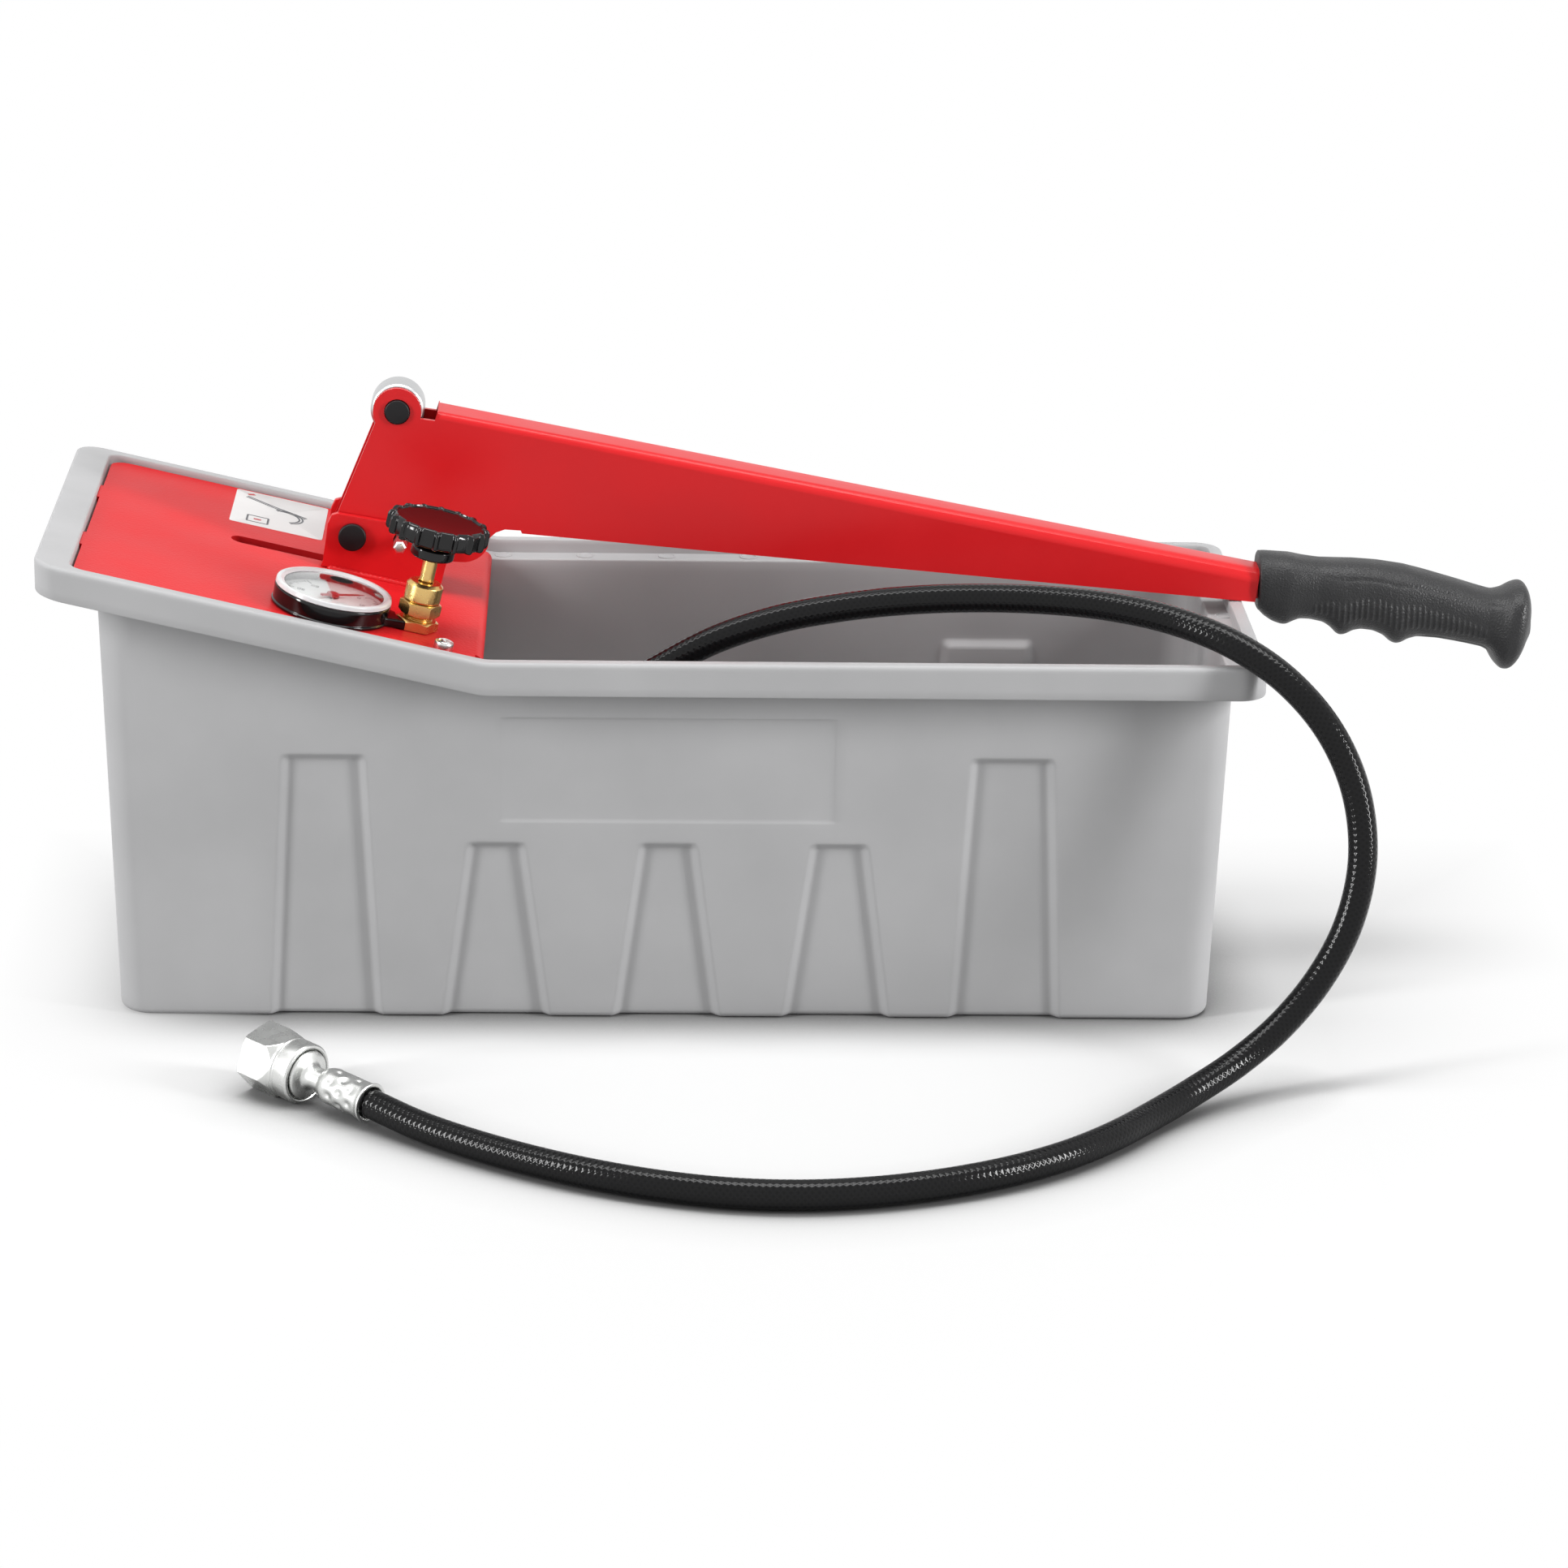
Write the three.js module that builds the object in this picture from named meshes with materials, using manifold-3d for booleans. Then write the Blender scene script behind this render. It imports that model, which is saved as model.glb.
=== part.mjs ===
import * as THREE from "three";
import { mergeVertices } from "three/addons/utils/BufferGeometryUtils.js";
import { ConvexGeometry } from "three/addons/geometries/ConvexGeometry.js";
import Module from "manifold-3d";

// Hydrostatic test pump: a moulded water tank that carries a lever pump, a gauge, a valve and a hose
// Millimetres, +Z up, +X along the lever to its grip, the hose and gauge on the -Y side
// Drawn about the tank's centre on the floor, and moved as a whole at the end

// Fits
const seatGap = 0.3;
const runGap = 0.3;
const cutOverrun = 1;
const weldDistance = 0.0005;

// Tank rim
const rimLength = 500;
const rimWidth = 190;
const rimHeight = 159.5;
const rimRise = 41;
const crestFromLeft = 181.5;
const crestX = crestFromLeft - rimLength / 2;
const rimCornerRadius = 12;
const skirtDepth = 14;
const skirtWall = 3;
const rimBand = 6;
const rimBandLeft = 14.2;
const ledgeDrop = 5.8;
const ledgeThickness = 3;

// Tank body
const overhangLeft = 28.6;
const overhangRight = 16.2;
const overhangSide = 17;
const bodyLength = rimLength - overhangLeft - overhangRight;
const bodyWidth = rimWidth - 2 * overhangSide;
const bodyOffset = (overhangLeft - overhangRight) / 2;
const bodyCornerRadius = 14;
const bodyWall = 3.5;
const floorThickness = 4;
const draftShare = 0.029;

// Flutes and the bare panel in the long walls
const outerFlutePitch = 141.3;
const outerFluteTop = 116;
const outerFluteTopWidth = 34.5;
const outerFluteFootWidth = 46.5;
const innerFlutePitch = 70.8;
const innerFluteTop = 78;
const innerFluteTopWidth = 24;
const innerFluteFootWidth = 45;
const fluteDepth = 3;
const fluteFlank = 3;
const panelWidth = 137.7;
const panelBottom = 86.9;
const panelTop = 132.6;
const panelDepth = 0.8;

// Cover plate and what holds it
const deckDrop = 2.8;
const deckEndGap = 1.7;
const deckSideGap = 0.5;
const deckStretch = Math.hypot(crestFromLeft, rimRise) / crestFromLeft;
const deckLength = (crestFromLeft - rimBandLeft) * deckStretch - deckEndGap;
const deckWidth = rimWidth - 2 * (rimBand + deckSideGap);
const deckCornerRadius = 8;
const bendRadius = 4;
const flangeSideGap = 1;
const flangeWidth = bodyWidth - 2 * flangeSideGap;
const flangeDrop = 15.8;
const tabLength = 8.2;
const tabWidth = 18;
const rearTabPlace = 37;
const frontTabPlace = -36;
const boltFromCrest = 17.5;
const boltFromEdge = 7.5;
const boltSpacing = deckWidth - 2 * boltFromEdge;
const boltShankRadius = 2.5;
const boltHeadRadius = 4;
const boltHeadHeight = 2.6;
const boltReach = 6;
const bossRadius = 6;
const bossDepth = 7.8;

// Pump linkage: every place here is measured from the lever's pivot
const linkPlane = 12;
const pivotFromCrest = 58;
const pivotX = crestX - pivotFromCrest;
const pivotRise = 26.4;
const pivotZ = rimHeight + pivotRise;
const lugX = 19;
const lugZ = 53;
const trunnionX = -30;
const trunnionZ = -76;

// Slot in the plate for the rod
const slotLeft = -50.5;
const slotRight = 5;
const slotSideGap = 0.75;

// Ears
const earFoot = 49.6;
const earHeel = 13.4;
const earSpread = 27;
const earSheet = 3;
const earOutlineShares = [
  [0.806, -0.181],
  [0.819, -0.121],
  [0.794, -0.032],
  [0.726, 0.032],
  [0.625, 0.073],
  [0.315, 0.125],
  [-0.123, 0.2],
  [-0.172, 0.186],
  [-0.206, 0.113],
  [-0.25, -0.214],
];
const pivotPinRadius = 5;
const pivotHeadRadius = 5.85;
const pivotHeadLength = 2.2;
const screwX = 20.3;
const screwZ = -1.5;
const screwRadius = 2.9;
const screwStandoff = 12;

// Lever
const leverWidth = 20;
const leverSheet = 2;
const lugRadius = 10.1;
const pivotBossRadius = 9.3;
const lobeX = 46.4;
const lobeZ = -0.5;
const lobeRadius = 11.3;
const cutoutShares = [
  [0.84, -0.4],
  [0.947, -0.088],
  [1.204, 0.15],
  [1.54, 0.274],
  [2.133, 0.239],
];
const lugNotchStartShares = [0.891, -0.267];
const lugNotchShares = [1.554, -0.366];
const lugEdgeOffset = 6.7;
const webStart = 35.8;
const creaseRadiusNear = 3;
const creaseRadiusFar = 6;
const underStart = 71;
const underDrop = 0.9;
const restGap = 0.26;
const rimEndReach = rimLength / 2 - pivotX;
const underFall = pivotRise + underDrop - restGap;
const underSlopeShare = underFall / (rimEndReach - underStart);
const lipWidth = 6;
const lipMargin = 6;
const channelPastRim = -0.5;
const channelEnd = rimEndReach + channelPastRim;
const lipEnd = channelEnd - lipMargin;
const tangLength = 86;
const tangEnd = channelEnd + tangLength;
const tipDrop = 11.64;
const webSlopeShare = (lugZ + tipDrop) / (channelEnd - webStart);
const tangWidth = 12;
const tangTop = 15;
const tangDepth = 10.4;
const tangSlopeShare = 0.1;
const rodPinRadius = 5.15;
const rodPinLength = 22.6;

// Grip: stations along it as shares of its length and depth, top, foot and half width
const gripPastRim = 7.2;
const gripStart = rimEndReach + gripPastRim;
const gripLength = 116.9;
const gripDepth = 28;
const gripTiltShare = 0.13;
const gripRoundnessShare = 0.8;
const gripStationShares = [
  [0, -0.264, -1.157, 0.446],
  [0.103, -0.289, -1.361, 0.5],
  [0.214, -0.368, -1.279, 0.464],
  [0.302, -0.364, -1.511, 0.518],
  [0.376, -0.361, -1.418, 0.5],
  [0.506, -0.439, -1.646, 0.536],
  [0.608, -0.546, -1.525, 0.5],
  [0.738, -0.696, -1.618, 0.5],
  [0.858, -0.846, -1.725, 0.5],
  [0.893, -0.72, -2.0, 0.64],
  [0.948, -0.7, -2.036, 0.664],
  [0.982, -0.929, -1.804, 0.44],
  [1, -1.214, -1.5, 0.143],
];

// Piston and cylinder: lengths along the rod
const rodRadius = 4;
const rodSpigotRadius = 3;
const eyeRadius = 11.2;
const eyeWidth = 15;
const pistonTopGap = 5;
const pistonLength = 14;
const pistonRadius = 18.5;
const sealLength = 5;
const sealDepth = 2.6;
const sealStandout = 0.5;
const boreRadius = 20.2;
const tubeRadius = 23;
const tubeTop = 40;
const tubeFoot = 12;
const baseThickness = 10;
const glandFlange = 5;
const glandBossRadius = 12;
const glandBossHeight = 5;
const glandBoreRadius = 5.1;
const trunnionRadius = 5;
const frontTrunnionEnd = 39;
const rearTrunnionEnd = 31;
const hangerInset = 26;
const hangerSheet = 3;
const hangerReach = 22;
const hangerEndRadius = 11;
const housingRadius = 9.5;
const housingEnd = 41.5;
const suctionPipeRadius = 7;
const suctionBoreRadius = 5;
const strainerFloorGap = 15.2;
const strainerRadius = 13;
const strainerLength = 22;
const strainerWall = 2.2;
const strainerSlotWidth = 4;
const strainerSlotCount = 6;

// Valve block under the plate, and the valve on it: places along and up from the plate's crest
const valveAlong = -29.7;
const valveFromSide = 37;
const valveY = valveFromSide - rimWidth / 2;
const blockLength = 30;
const blockWidth = 26;
const blockDepth = 30;
const portHeight = -25.4;
const portRadius = 5;
const portDepth = 9;
const valveShankRadius = 6;
const valveShankFoot = -16;
const baseHexRadius = 9;
const baseHexTop = 1.5;
const bodyHexRadius = 8.7;
const bodyHexFoot = 3.5;
const bodyHexTop = 9;
const glandRadius = 7.25;
const glandTop = 17.5;
const glandChamfer = 1.2;
const spindleRadius = 2.8;
const spindleFoot = -12;
const spindleTop = 36;
const hubRadius = 8.95;
const hubFoot = 28;
const hubTop = 33;
const knobNeckRadius = 6;
const knobFoot = 36;
const knobHeight = 8.5;
const knobRadius = 21.3;
const knobFluteDepth = 1.5;
const knobFluteCount = 16;
const knobRingShares = [
  [0, 0.8],
  [0.12, 0.93],
  [0.32, 1],
  [0.7, 1],
  [0.92, 0.965],
  [1, 0.89],
];
const knobDishShare = 0.94;

// Gauge: heights from the rim's plane
const gaugeAlong = -65.5;
const gaugeFromSide = 35;
const gaugeY = gaugeFromSide - rimWidth / 2;
const caseRadius = 24.5;
const caseTop = 4;
const caseEdge = 1;
const caseFloor = 1.2;
const caseBore = 22;
const neckWidth = 11;
const neckTip = 7.5;
const dialThickness = 0.6;
const dialHoleRadius = 1.4;
const lensRadius = 24.2;
const lensHeight = 2.7;
const lensDome = 2;
const lensThickness = 1.8;
const lensEdge = 0.6;
const pointerLength = 16;
const pointerTail = 6;
const pointerWidth = 2.4;
const pointerThickness = 0.6;
const pointerHeight = 2.9;
const pointerHubRadius = 2.6;
const pointerArborRadius = 1;
const pointerRestTurn = 0.62;

// Pipe from the swivel housing to the valve block, its bends as shares of the way
const deliveryRadius = 4;
const deliveryLead = 12;

// Hose, its end pieces and its route
const hoseRadius = 6;
const nippleLength = 6;
const ferruleRadius = 8.5;
const ferruleLength = 24;
const hoseSides = 10;
const hoseSteps = 70;
// The first stretch is placed from the crest, the valve and the rim, the second from the floor
const hoseOverRim = [
  [9.6, 0, -28.2],
  [17.5, 0, -29.8],
  [32.5, 0.2, -29.8],
  [46.5, 1.2, -26.5],
  [59.5, 3, -20.6],
  [70.5, 4.5, -14.3],
  [93.5, 6.4, -2.3],
  [119.5, 8, 6.2],
  [147, 9.3, 11.3],
  [175, 9.5, 14.4],
  [202.5, 7.8, 16],
  [229.5, 2.7, 16.9],
  [255.5, -6, 16.8],
  [280, -18, 14.7],
  [302.5, -32.5, 9.5],
  [323.6, -45.9, -1.7],
  [340.6, -57.4, -19.2],
  [351.2, -66.8, -41.4],
  [354.4, -74.8, -67.7],
];
const hoseOnFloor = [
  [280.6, -139.3, 65.8],
  [268.9, -145.7, 44.2],
  [252.9, -154.1, 27.2],
  [235.3, -164.8, 16],
  [216.3, -179.4, 9.2],
  [197.9, -198.5, 6.4],
  [179.7, -220.7, 6.3],
  [159.5, -240.1, 6.3],
  [136.7, -255.7, 6.3],
  [111.7, -267.6, 6.3],
  [85.4, -275.7, 6.3],
  [58.3, -279.4, 6.3],
  [31.3, -278, 6.3],
  [4.7, -271.5, 6.3],
  [-21.2, -261, 6.3],
  [-45.9, -247.3, 6.3],
  [-69.4, -231.3, 6.4],
  [-91.2, -214, 7],
  [-111, -196.3, 9],
];
const hoseRoute = [
  ...hoseOverRim.map(([x, y, z]) => [crestX + x, valveY + y, rimHeight + z]),
  ...hoseOnFloor,
];
const sleeveRadius = 7.5;
const sleeveLength = 25;
const stemRadius = 6;
const stemWaistRadius = 4.8;
const stemLength = 10.4;
const nutLength = 26;
const nutRadius = 12.5;
const nutCollar = 10;
const nutBackWall = 5.7;
const nutBoreRadius = 9.3;
const nutHexFlats = 25;
const stemCollarLength = 4;

// Sides of round pieces
const fineSides = 32;
const pipeSides = 24;
const cornerSteps = 4;

// Worked out from the sizes above
const slope = Math.atan2(rimRise, crestFromLeft);
const plateSheet = ledgeDrop - deckDrop - seatGap;
const blockTop = -ledgeDrop;
const deckUnder = -ledgeDrop + seatGap;
const leverTopEnd = lugZ - webSlopeShare * (gripStart - webStart);
const leverUnderEnd = underDrop - underSlopeShare * (gripStart - underStart);
const rodReach = Math.hypot(lugX - trunnionX, lugZ - trunnionZ);
const rodLean = Math.atan2(lugX - trunnionX, lugZ - trunnionZ);
const pistonReach = rodReach - tubeTop + pistonLength + pistonTopGap;
const strainerEnd = (pivotZ + trunnionZ - floorThickness - strainerFloorGap) / Math.cos(rodLean);
const suctionPipeEnd = strainerEnd - strainerLength;
const sectionShift = (pivotX + gripStart + gripLength - rimLength / 2) / 2;

const wasm = await Module();
wasm.setup();

// Shapes and solids

// A geometry as a solid, its doubled corners joined
function solidOf(geometry) {
  const bare = geometry.index ? geometry.toNonIndexed() : geometry.clone();
  bare.deleteAttribute("normal");
  bare.deleteAttribute("uv");
  const welded = mergeVertices(bare, weldDistance);
  const corners = welded.index.array;
  const kept = [];
  for (let i = 0; i < corners.length; i += 3) {
    const [a, b, c] = [corners[i], corners[i + 1], corners[i + 2]];
    if (a !== b && b !== c && c !== a) kept.push(a, b, c);
  }
  return new wasm.Manifold(
    new wasm.Mesh({
      numProp: 3,
      vertProperties: welded.attributes.position.array,
      triVerts: new Uint32Array(kept),
    }),
  );
}

function geometryOf(solid) {
  const mesh = solid.getMesh();
  const places = [];
  for (let i = 0; i < mesh.vertProperties.length; i += mesh.numProp) {
    places.push(mesh.vertProperties[i], mesh.vertProperties[i + 1], mesh.vertProperties[i + 2]);
  }
  const geometry = new THREE.BufferGeometry();
  geometry.setAttribute("position", new THREE.Float32BufferAttribute(places, 3));
  geometry.setIndex(Array.from(mesh.triVerts));
  geometry.computeVertexNormals();
  return geometry;
}

function joined(...solids) {
  return solids.reduce((whole, piece) => whole.add(piece));
}

function arc(x, y, radius, from, to, steps) {
  return Array.from({ length: steps + 1 }, (_, i) => {
    const turn = from + ((to - from) * i) / steps;
    return [x + radius * Math.cos(turn), y + radius * Math.sin(turn)];
  });
}

function roundedOutline(x0, x1, y0, y1, radius) {
  const quarter = Math.PI / 2;
  return [
    ...arc(x1 - radius, y0 + radius, radius, -quarter, 0, cornerSteps),
    ...arc(x1 - radius, y1 - radius, radius, 0, quarter, cornerSteps),
    ...arc(x0 + radius, y1 - radius, radius, quarter, 2 * quarter, cornerSteps),
    ...arc(x0 + radius, y0 + radius, radius, 2 * quarter, 3 * quarter, cornerSteps),
  ];
}

// A prism on an outline in X and Y, between two heights
function upright(outline, z0, z1) {
  const shape = new THREE.Shape(outline.map(([x, y]) => new THREE.Vector2(x, y)));
  const geometry = new THREE.ExtrudeGeometry(shape, { depth: z1 - z0, bevelEnabled: false });
  return geometry.translate(0, 0, z0);
}

// A prism on an outline in X and Z, between two places along Y
function crosswise(outline, y0, y1) {
  const shape = new THREE.Shape(outline.map(([x, z]) => new THREE.Vector2(x, z)));
  const geometry = new THREE.ExtrudeGeometry(shape, { depth: y1 - y0, bevelEnabled: false });
  return geometry.rotateX(Math.PI / 2).translate(0, y1, 0);
}

// Rings of points in order, joined by a skin and closed by fans
function ringLoft(rings) {
  const count = rings[0].length;
  const places = rings.flat();
  const faces = [];
  for (let level = 0; level < rings.length - 1; level += 1) {
    for (let i = 0; i < count; i += 1) {
      const a = level * count + i;
      const b = level * count + ((i + 1) % count);
      faces.push(a, b, b + count, a, b + count, a + count);
    }
  }
  const last = (rings.length - 1) * count;
  const middle = (ring) =>
    ring.reduce((sum, p) => sum.add(p), new THREE.Vector3()).divideScalar(ring.length);
  const foot = places.push(middle(rings[0])) - 1;
  const head = places.push(middle(rings[rings.length - 1])) - 1;
  for (let i = 0; i < count; i += 1) {
    const next = (i + 1) % count;
    faces.push(foot, next, i, head, last + i, last + next);
  }
  const geometry = new THREE.BufferGeometry().setFromPoints(places);
  geometry.setIndex(faces);
  return geometry;
}

// A profile of radius and height turned about Z
function turned(profile, sides = fineSides) {
  const points = profile.map(([radius, height]) => new THREE.Vector2(radius, height));
  return new THREE.LatheGeometry(points, sides).rotateX(Math.PI / 2);
}

function tubeProfile(inner, outer, z0, z1) {
  return [
    [inner, z0],
    [outer, z0],
    [outer, z1],
    [inner, z1],
    [inner, z0],
  ];
}

function roundBar(radius, z0, z1, sides = fineSides) {
  return turned(
    [
      [0, z0],
      [radius, z0],
      [radius, z1],
      [0, z1],
    ],
    sides,
  );
}

// A round bar across the pump, from one place along Y to another
function pinBar(x, z, radius, y0, y1, sides = fineSides) {
  return roundBar(radius, -y1, -y0, sides).rotateX(Math.PI / 2).translate(x, 0, z);
}

function hexBar(radius, z0, z1) {
  return upright(arc(0, 0, radius, 0, 2 * Math.PI, 6).slice(0, 6), z0, z1);
}

function box(x0, x1, y0, y1, z0, z1) {
  const geometry = new THREE.BoxGeometry(x1 - x0, y1 - y0, z1 - z0);
  return geometry.translate((x0 + x1) / 2, (y0 + y1) / 2, (z0 + z1) / 2);
}

// The plate's own frame: X down its slope from the crest, Z square to it
const deckMatrix = new THREE.Matrix4()
  .makeTranslation(crestX, 0, rimHeight)
  .multiply(new THREE.Matrix4().makeRotationY(slope));

function onDeck(geometry) {
  return geometry.applyMatrix4(deckMatrix);
}

function deckPoint(along, y, height) {
  return new THREE.Vector3(along, y, height).applyMatrix4(deckMatrix);
}

// Height over the floor of a plane parallel to the plate
function deckLevel(x, height) {
  return rimHeight + (crestX - x) * Math.tan(slope) + height / Math.cos(slope);
}

// The rod's frame: Z from the trunnion up the rod
function onRod(geometry, x, z) {
  return geometry.rotateY(rodLean).translate(pivotX + x, linkPlane, pivotZ + z);
}

// Tank

// The rim's line seen from the side, lowered square to itself
function rimLine(drop) {
  const left = -rimLength / 2 - cutOverrun;
  const right = rimLength / 2 + cutOverrun;
  return [
    [left, deckLevel(left, -drop)],
    [crestX - drop * Math.tan(slope / 2), rimHeight - drop],
    [right, rimHeight - drop],
  ];
}

function rimSlab(topDrop, footDrop) {
  const outline = [...rimLine(footDrop), ...rimLine(topDrop).reverse()];
  const reach = rimWidth / 2 + cutOverrun;
  return solidOf(crosswise(outline, -reach, reach));
}

// All that lies under the ledge's line, down past the floor
function underLedge() {
  const [left, crest, right] = rimLine(ledgeDrop);
  const reach = rimWidth / 2 + cutOverrun;
  const outline = [[left[0], -cutOverrun], [right[0], -cutOverrun], right, crest, left];
  return solidOf(crosswise(outline, -reach, reach));
}

function rimPlan(inset, leftInset) {
  const outline = roundedOutline(
    -rimLength / 2 + leftInset,
    rimLength / 2 - inset,
    -rimWidth / 2 + inset,
    rimWidth / 2 - inset,
    rimCornerRadius - inset,
  );
  return solidOf(upright(outline, 0, rimHeight + rimRise + cutOverrun));
}

// The tapering body, its wall moved in by an inset, between two heights
function bodyLoft(inset, z0, z1) {
  const ring = (z) => {
    const grow = draftShare * z - inset;
    const half = bodyLength / 2 + grow;
    const side = bodyWidth / 2 + grow;
    const radius = bodyCornerRadius - inset;
    const outline = roundedOutline(bodyOffset - half, bodyOffset + half, -side, side, radius);
    return outline.map(([x, y]) => new THREE.Vector3(x, y, z));
  };
  return solidOf(ringLoft([ring(z0), ring(z1)]));
}

// A wedge let into a long wall, wider at its foot, with sloped flanks
function wallRecess(side, middle, topWidth, footWidth, foot, top, depth, grow) {
  const points = [];
  const slantShare = (footWidth - topWidth) / (2 * top);
  const flank = Math.min(fluteFlank, depth);
  const levels = foot > 0 ? [foot - grow, top + grow] : [foot - cutOverrun, top + grow];
  for (const z of levels) {
    const face = bodyWidth / 2 + draftShare * z;
    const half = footWidth / 2 - slantShare * z + grow;
    const lower = z === levels[1] ? flank : 0;
    for (const sign of [-1, 1]) {
      const outward = cutOverrun / depth;
      points.push(
        new THREE.Vector3(
          middle + sign * (half + flank * outward),
          side * (face + cutOverrun),
          z + lower * outward,
        ),
        new THREE.Vector3(middle + sign * (half - flank), side * (face - depth - grow), z - lower),
      );
    }
  }
  return solidOf(new ConvexGeometry(points));
}

function flutes(grow) {
  const pieces = [];
  for (const side of [-1, 1]) {
    for (const place of [-outerFlutePitch, outerFlutePitch]) {
      pieces.push(
        wallRecess(
          side,
          bodyOffset + place,
          outerFluteTopWidth,
          outerFluteFootWidth,
          0,
          outerFluteTop,
          fluteDepth,
          grow,
        ),
      );
    }
    for (const place of [-innerFlutePitch, 0, innerFlutePitch]) {
      pieces.push(
        wallRecess(
          side,
          bodyOffset + place,
          innerFluteTopWidth,
          innerFluteFootWidth,
          0,
          innerFluteTop,
          fluteDepth,
          grow,
        ),
      );
    }
  }
  return joined(...pieces);
}

function boltPlaces() {
  return [-boltSpacing / 2, boltSpacing / 2];
}

function makeTank() {
  const underRim = rimSlab(ledgeDrop + ledgeThickness, skirtDepth + cutOverrun);
  const ring = rimPlan(0, 0)
    .intersect(rimSlab(0, skirtDepth))
    .subtract(rimPlan(skirtWall, skirtWall).intersect(underRim));
  const body = bodyLoft(0, 0, rimHeight + rimRise).intersect(underLedge()).subtract(flutes(0));
  const inside = bodyLoft(bodyWall, floorThickness, rimHeight + rimRise + rimRise);
  const step = rimPlan(rimBand, rimBandLeft).intersect(rimSlab(-cutOverrun, ledgeDrop));
  let tank = ring.add(body).subtract(inside.subtract(flutes(bodyWall))).subtract(step);
  const panel = wallRecess(
    -1,
    bodyOffset,
    panelWidth,
    panelWidth,
    panelBottom,
    panelTop,
    panelDepth,
    0,
  );
  tank = tank.subtract(panel);
  for (const y of boltPlaces()) {
    const head = -ledgeDrop - seatGap;
    const boss = roundBar(bossRadius, head - bossDepth, head).translate(-boltFromCrest, y, 0);
    const drill = roundBar(
      boltShankRadius + runGap,
      head - boltReach - runGap,
      cutOverrun,
      pipeSides,
    ).translate(-boltFromCrest, y, 0);
    tank = tank.add(solidOf(onDeck(boss))).subtract(solidOf(onDeck(drill)));
  }
  for (const y of [rearTabPlace, frontTabPlace]) {
    const slot = box(
      -deckLength - tabLength - seatGap,
      -deckLength - seatGap,
      y - tabWidth / 2 - runGap,
      y + tabWidth / 2 + runGap,
      deckUnder - seatGap,
      -deckDrop + seatGap,
    );
    tank = tank.subtract(solidOf(onDeck(slot)));
  }
  return tank;
}

// Cover plate

// Where an upright line at X meets the plate's top, as a length from the crest
function deckAlong(x) {
  return (x - crestX - deckDrop * Math.sin(slope)) / Math.cos(slope);
}

function rodSlot() {
  const half = rodRadius + slotSideGap;
  const from = deckAlong(pivotX + slotLeft) + half;
  const to = deckAlong(pivotX + slotRight) - half;
  const quarter = Math.PI / 2;
  const outline = [
    ...arc(to, linkPlane, half, -quarter, quarter, cornerSteps * 2),
    ...arc(from, linkPlane, half, quarter, 3 * quarter, cornerSteps * 2),
  ];
  return upright(outline, -flangeDrop, cutOverrun);
}

function makeCoverPlate() {
  const flat = upright(
    roundedOutline(-deckLength, -bendRadius, -deckWidth / 2, deckWidth / 2, deckCornerRadius),
    deckUnder,
    -deckDrop,
  );
  const inner = bendRadius - plateSheet;
  const bend = [
    [-deckCornerRadius * 2, -deckDrop],
    [-deckCornerRadius * 2, deckUnder],
    ...arc(-bendRadius, -deckDrop - bendRadius, inner, Math.PI / 2, 0, cornerSteps),
    [-plateSheet, -flangeDrop],
    [0, -flangeDrop],
    ...arc(-bendRadius, -deckDrop - bendRadius, bendRadius, 0, Math.PI / 2, cornerSteps),
  ];
  const half = flangeWidth / 2;
  let plate = joined(solidOf(flat), solidOf(crosswise(bend, -half, half)));
  for (const y of [rearTabPlace, frontTabPlace]) {
    const tab = box(
      -deckLength - tabLength,
      -deckLength + deckCornerRadius,
      y - tabWidth / 2,
      y + tabWidth / 2,
      deckUnder,
      -deckDrop,
    );
    plate = plate.add(solidOf(tab));
  }
  const valveHole = roundBar(valveShankRadius + runGap, -flangeDrop, cutOverrun, pipeSides);
  plate = plate.subtract(solidOf(valveHole.translate(valveAlong, valveY, 0)));
  for (const y of boltPlaces()) {
    const hole = roundBar(boltShankRadius + runGap, -flangeDrop, cutOverrun, pipeSides);
    plate = plate.subtract(solidOf(hole.translate(-boltFromCrest, y, 0)));
  }
  plate = plate.subtract(solidOf(rodSlot()));
  return plate.transform(deckMatrix.elements);
}

function makeCoverBolt(y) {
  const rest = -deckDrop + seatGap;
  const profile = [
    [0, -ledgeDrop - seatGap - boltReach],
    [boltShankRadius, -ledgeDrop - seatGap - boltReach],
    [boltShankRadius, rest],
    [boltHeadRadius, rest],
    [boltHeadRadius, rest + boltHeadHeight / 2],
    [boltHeadRadius / 2, rest + boltHeadHeight],
    [0, rest + boltHeadHeight],
  ];
  return solidOf(onDeck(turned(profile, pipeSides).translate(-boltFromCrest, y, 0)));
}

// Ears and pins

function earPlace(side) {
  const outer = linkPlane + (side * earSpread) / 2;
  return side < 0 ? [outer, outer + earSheet] : [outer - earSheet, outer];
}

function makeEar(side) {
  const footRest = -deckDrop + seatGap;
  const toe = earFoot - earHeel;
  const outline = [
    [pivotX - earHeel, deckLevel(pivotX - earHeel, footRest)],
    [pivotX + toe, deckLevel(pivotX + toe, footRest)],
    ...earOutlineShares.map(([x, z]) => [pivotX + x * earFoot, pivotZ + z * earFoot]),
  ];
  const [y0, y1] = earPlace(side);
  const over = [y0 - cutOverrun, y1 + cutOverrun];
  let ear = solidOf(crosswise(outline, y0, y1));
  ear = ear.subtract(solidOf(pinBar(pivotX, pivotZ, pivotPinRadius + runGap, ...over, pipeSides)));
  if (side < 0) {
    const drill = pinBar(pivotX + screwX, pivotZ + screwZ, screwRadius + runGap, ...over, pipeSides);
    ear = ear.subtract(solidOf(drill));
  }
  return ear;
}

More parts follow.
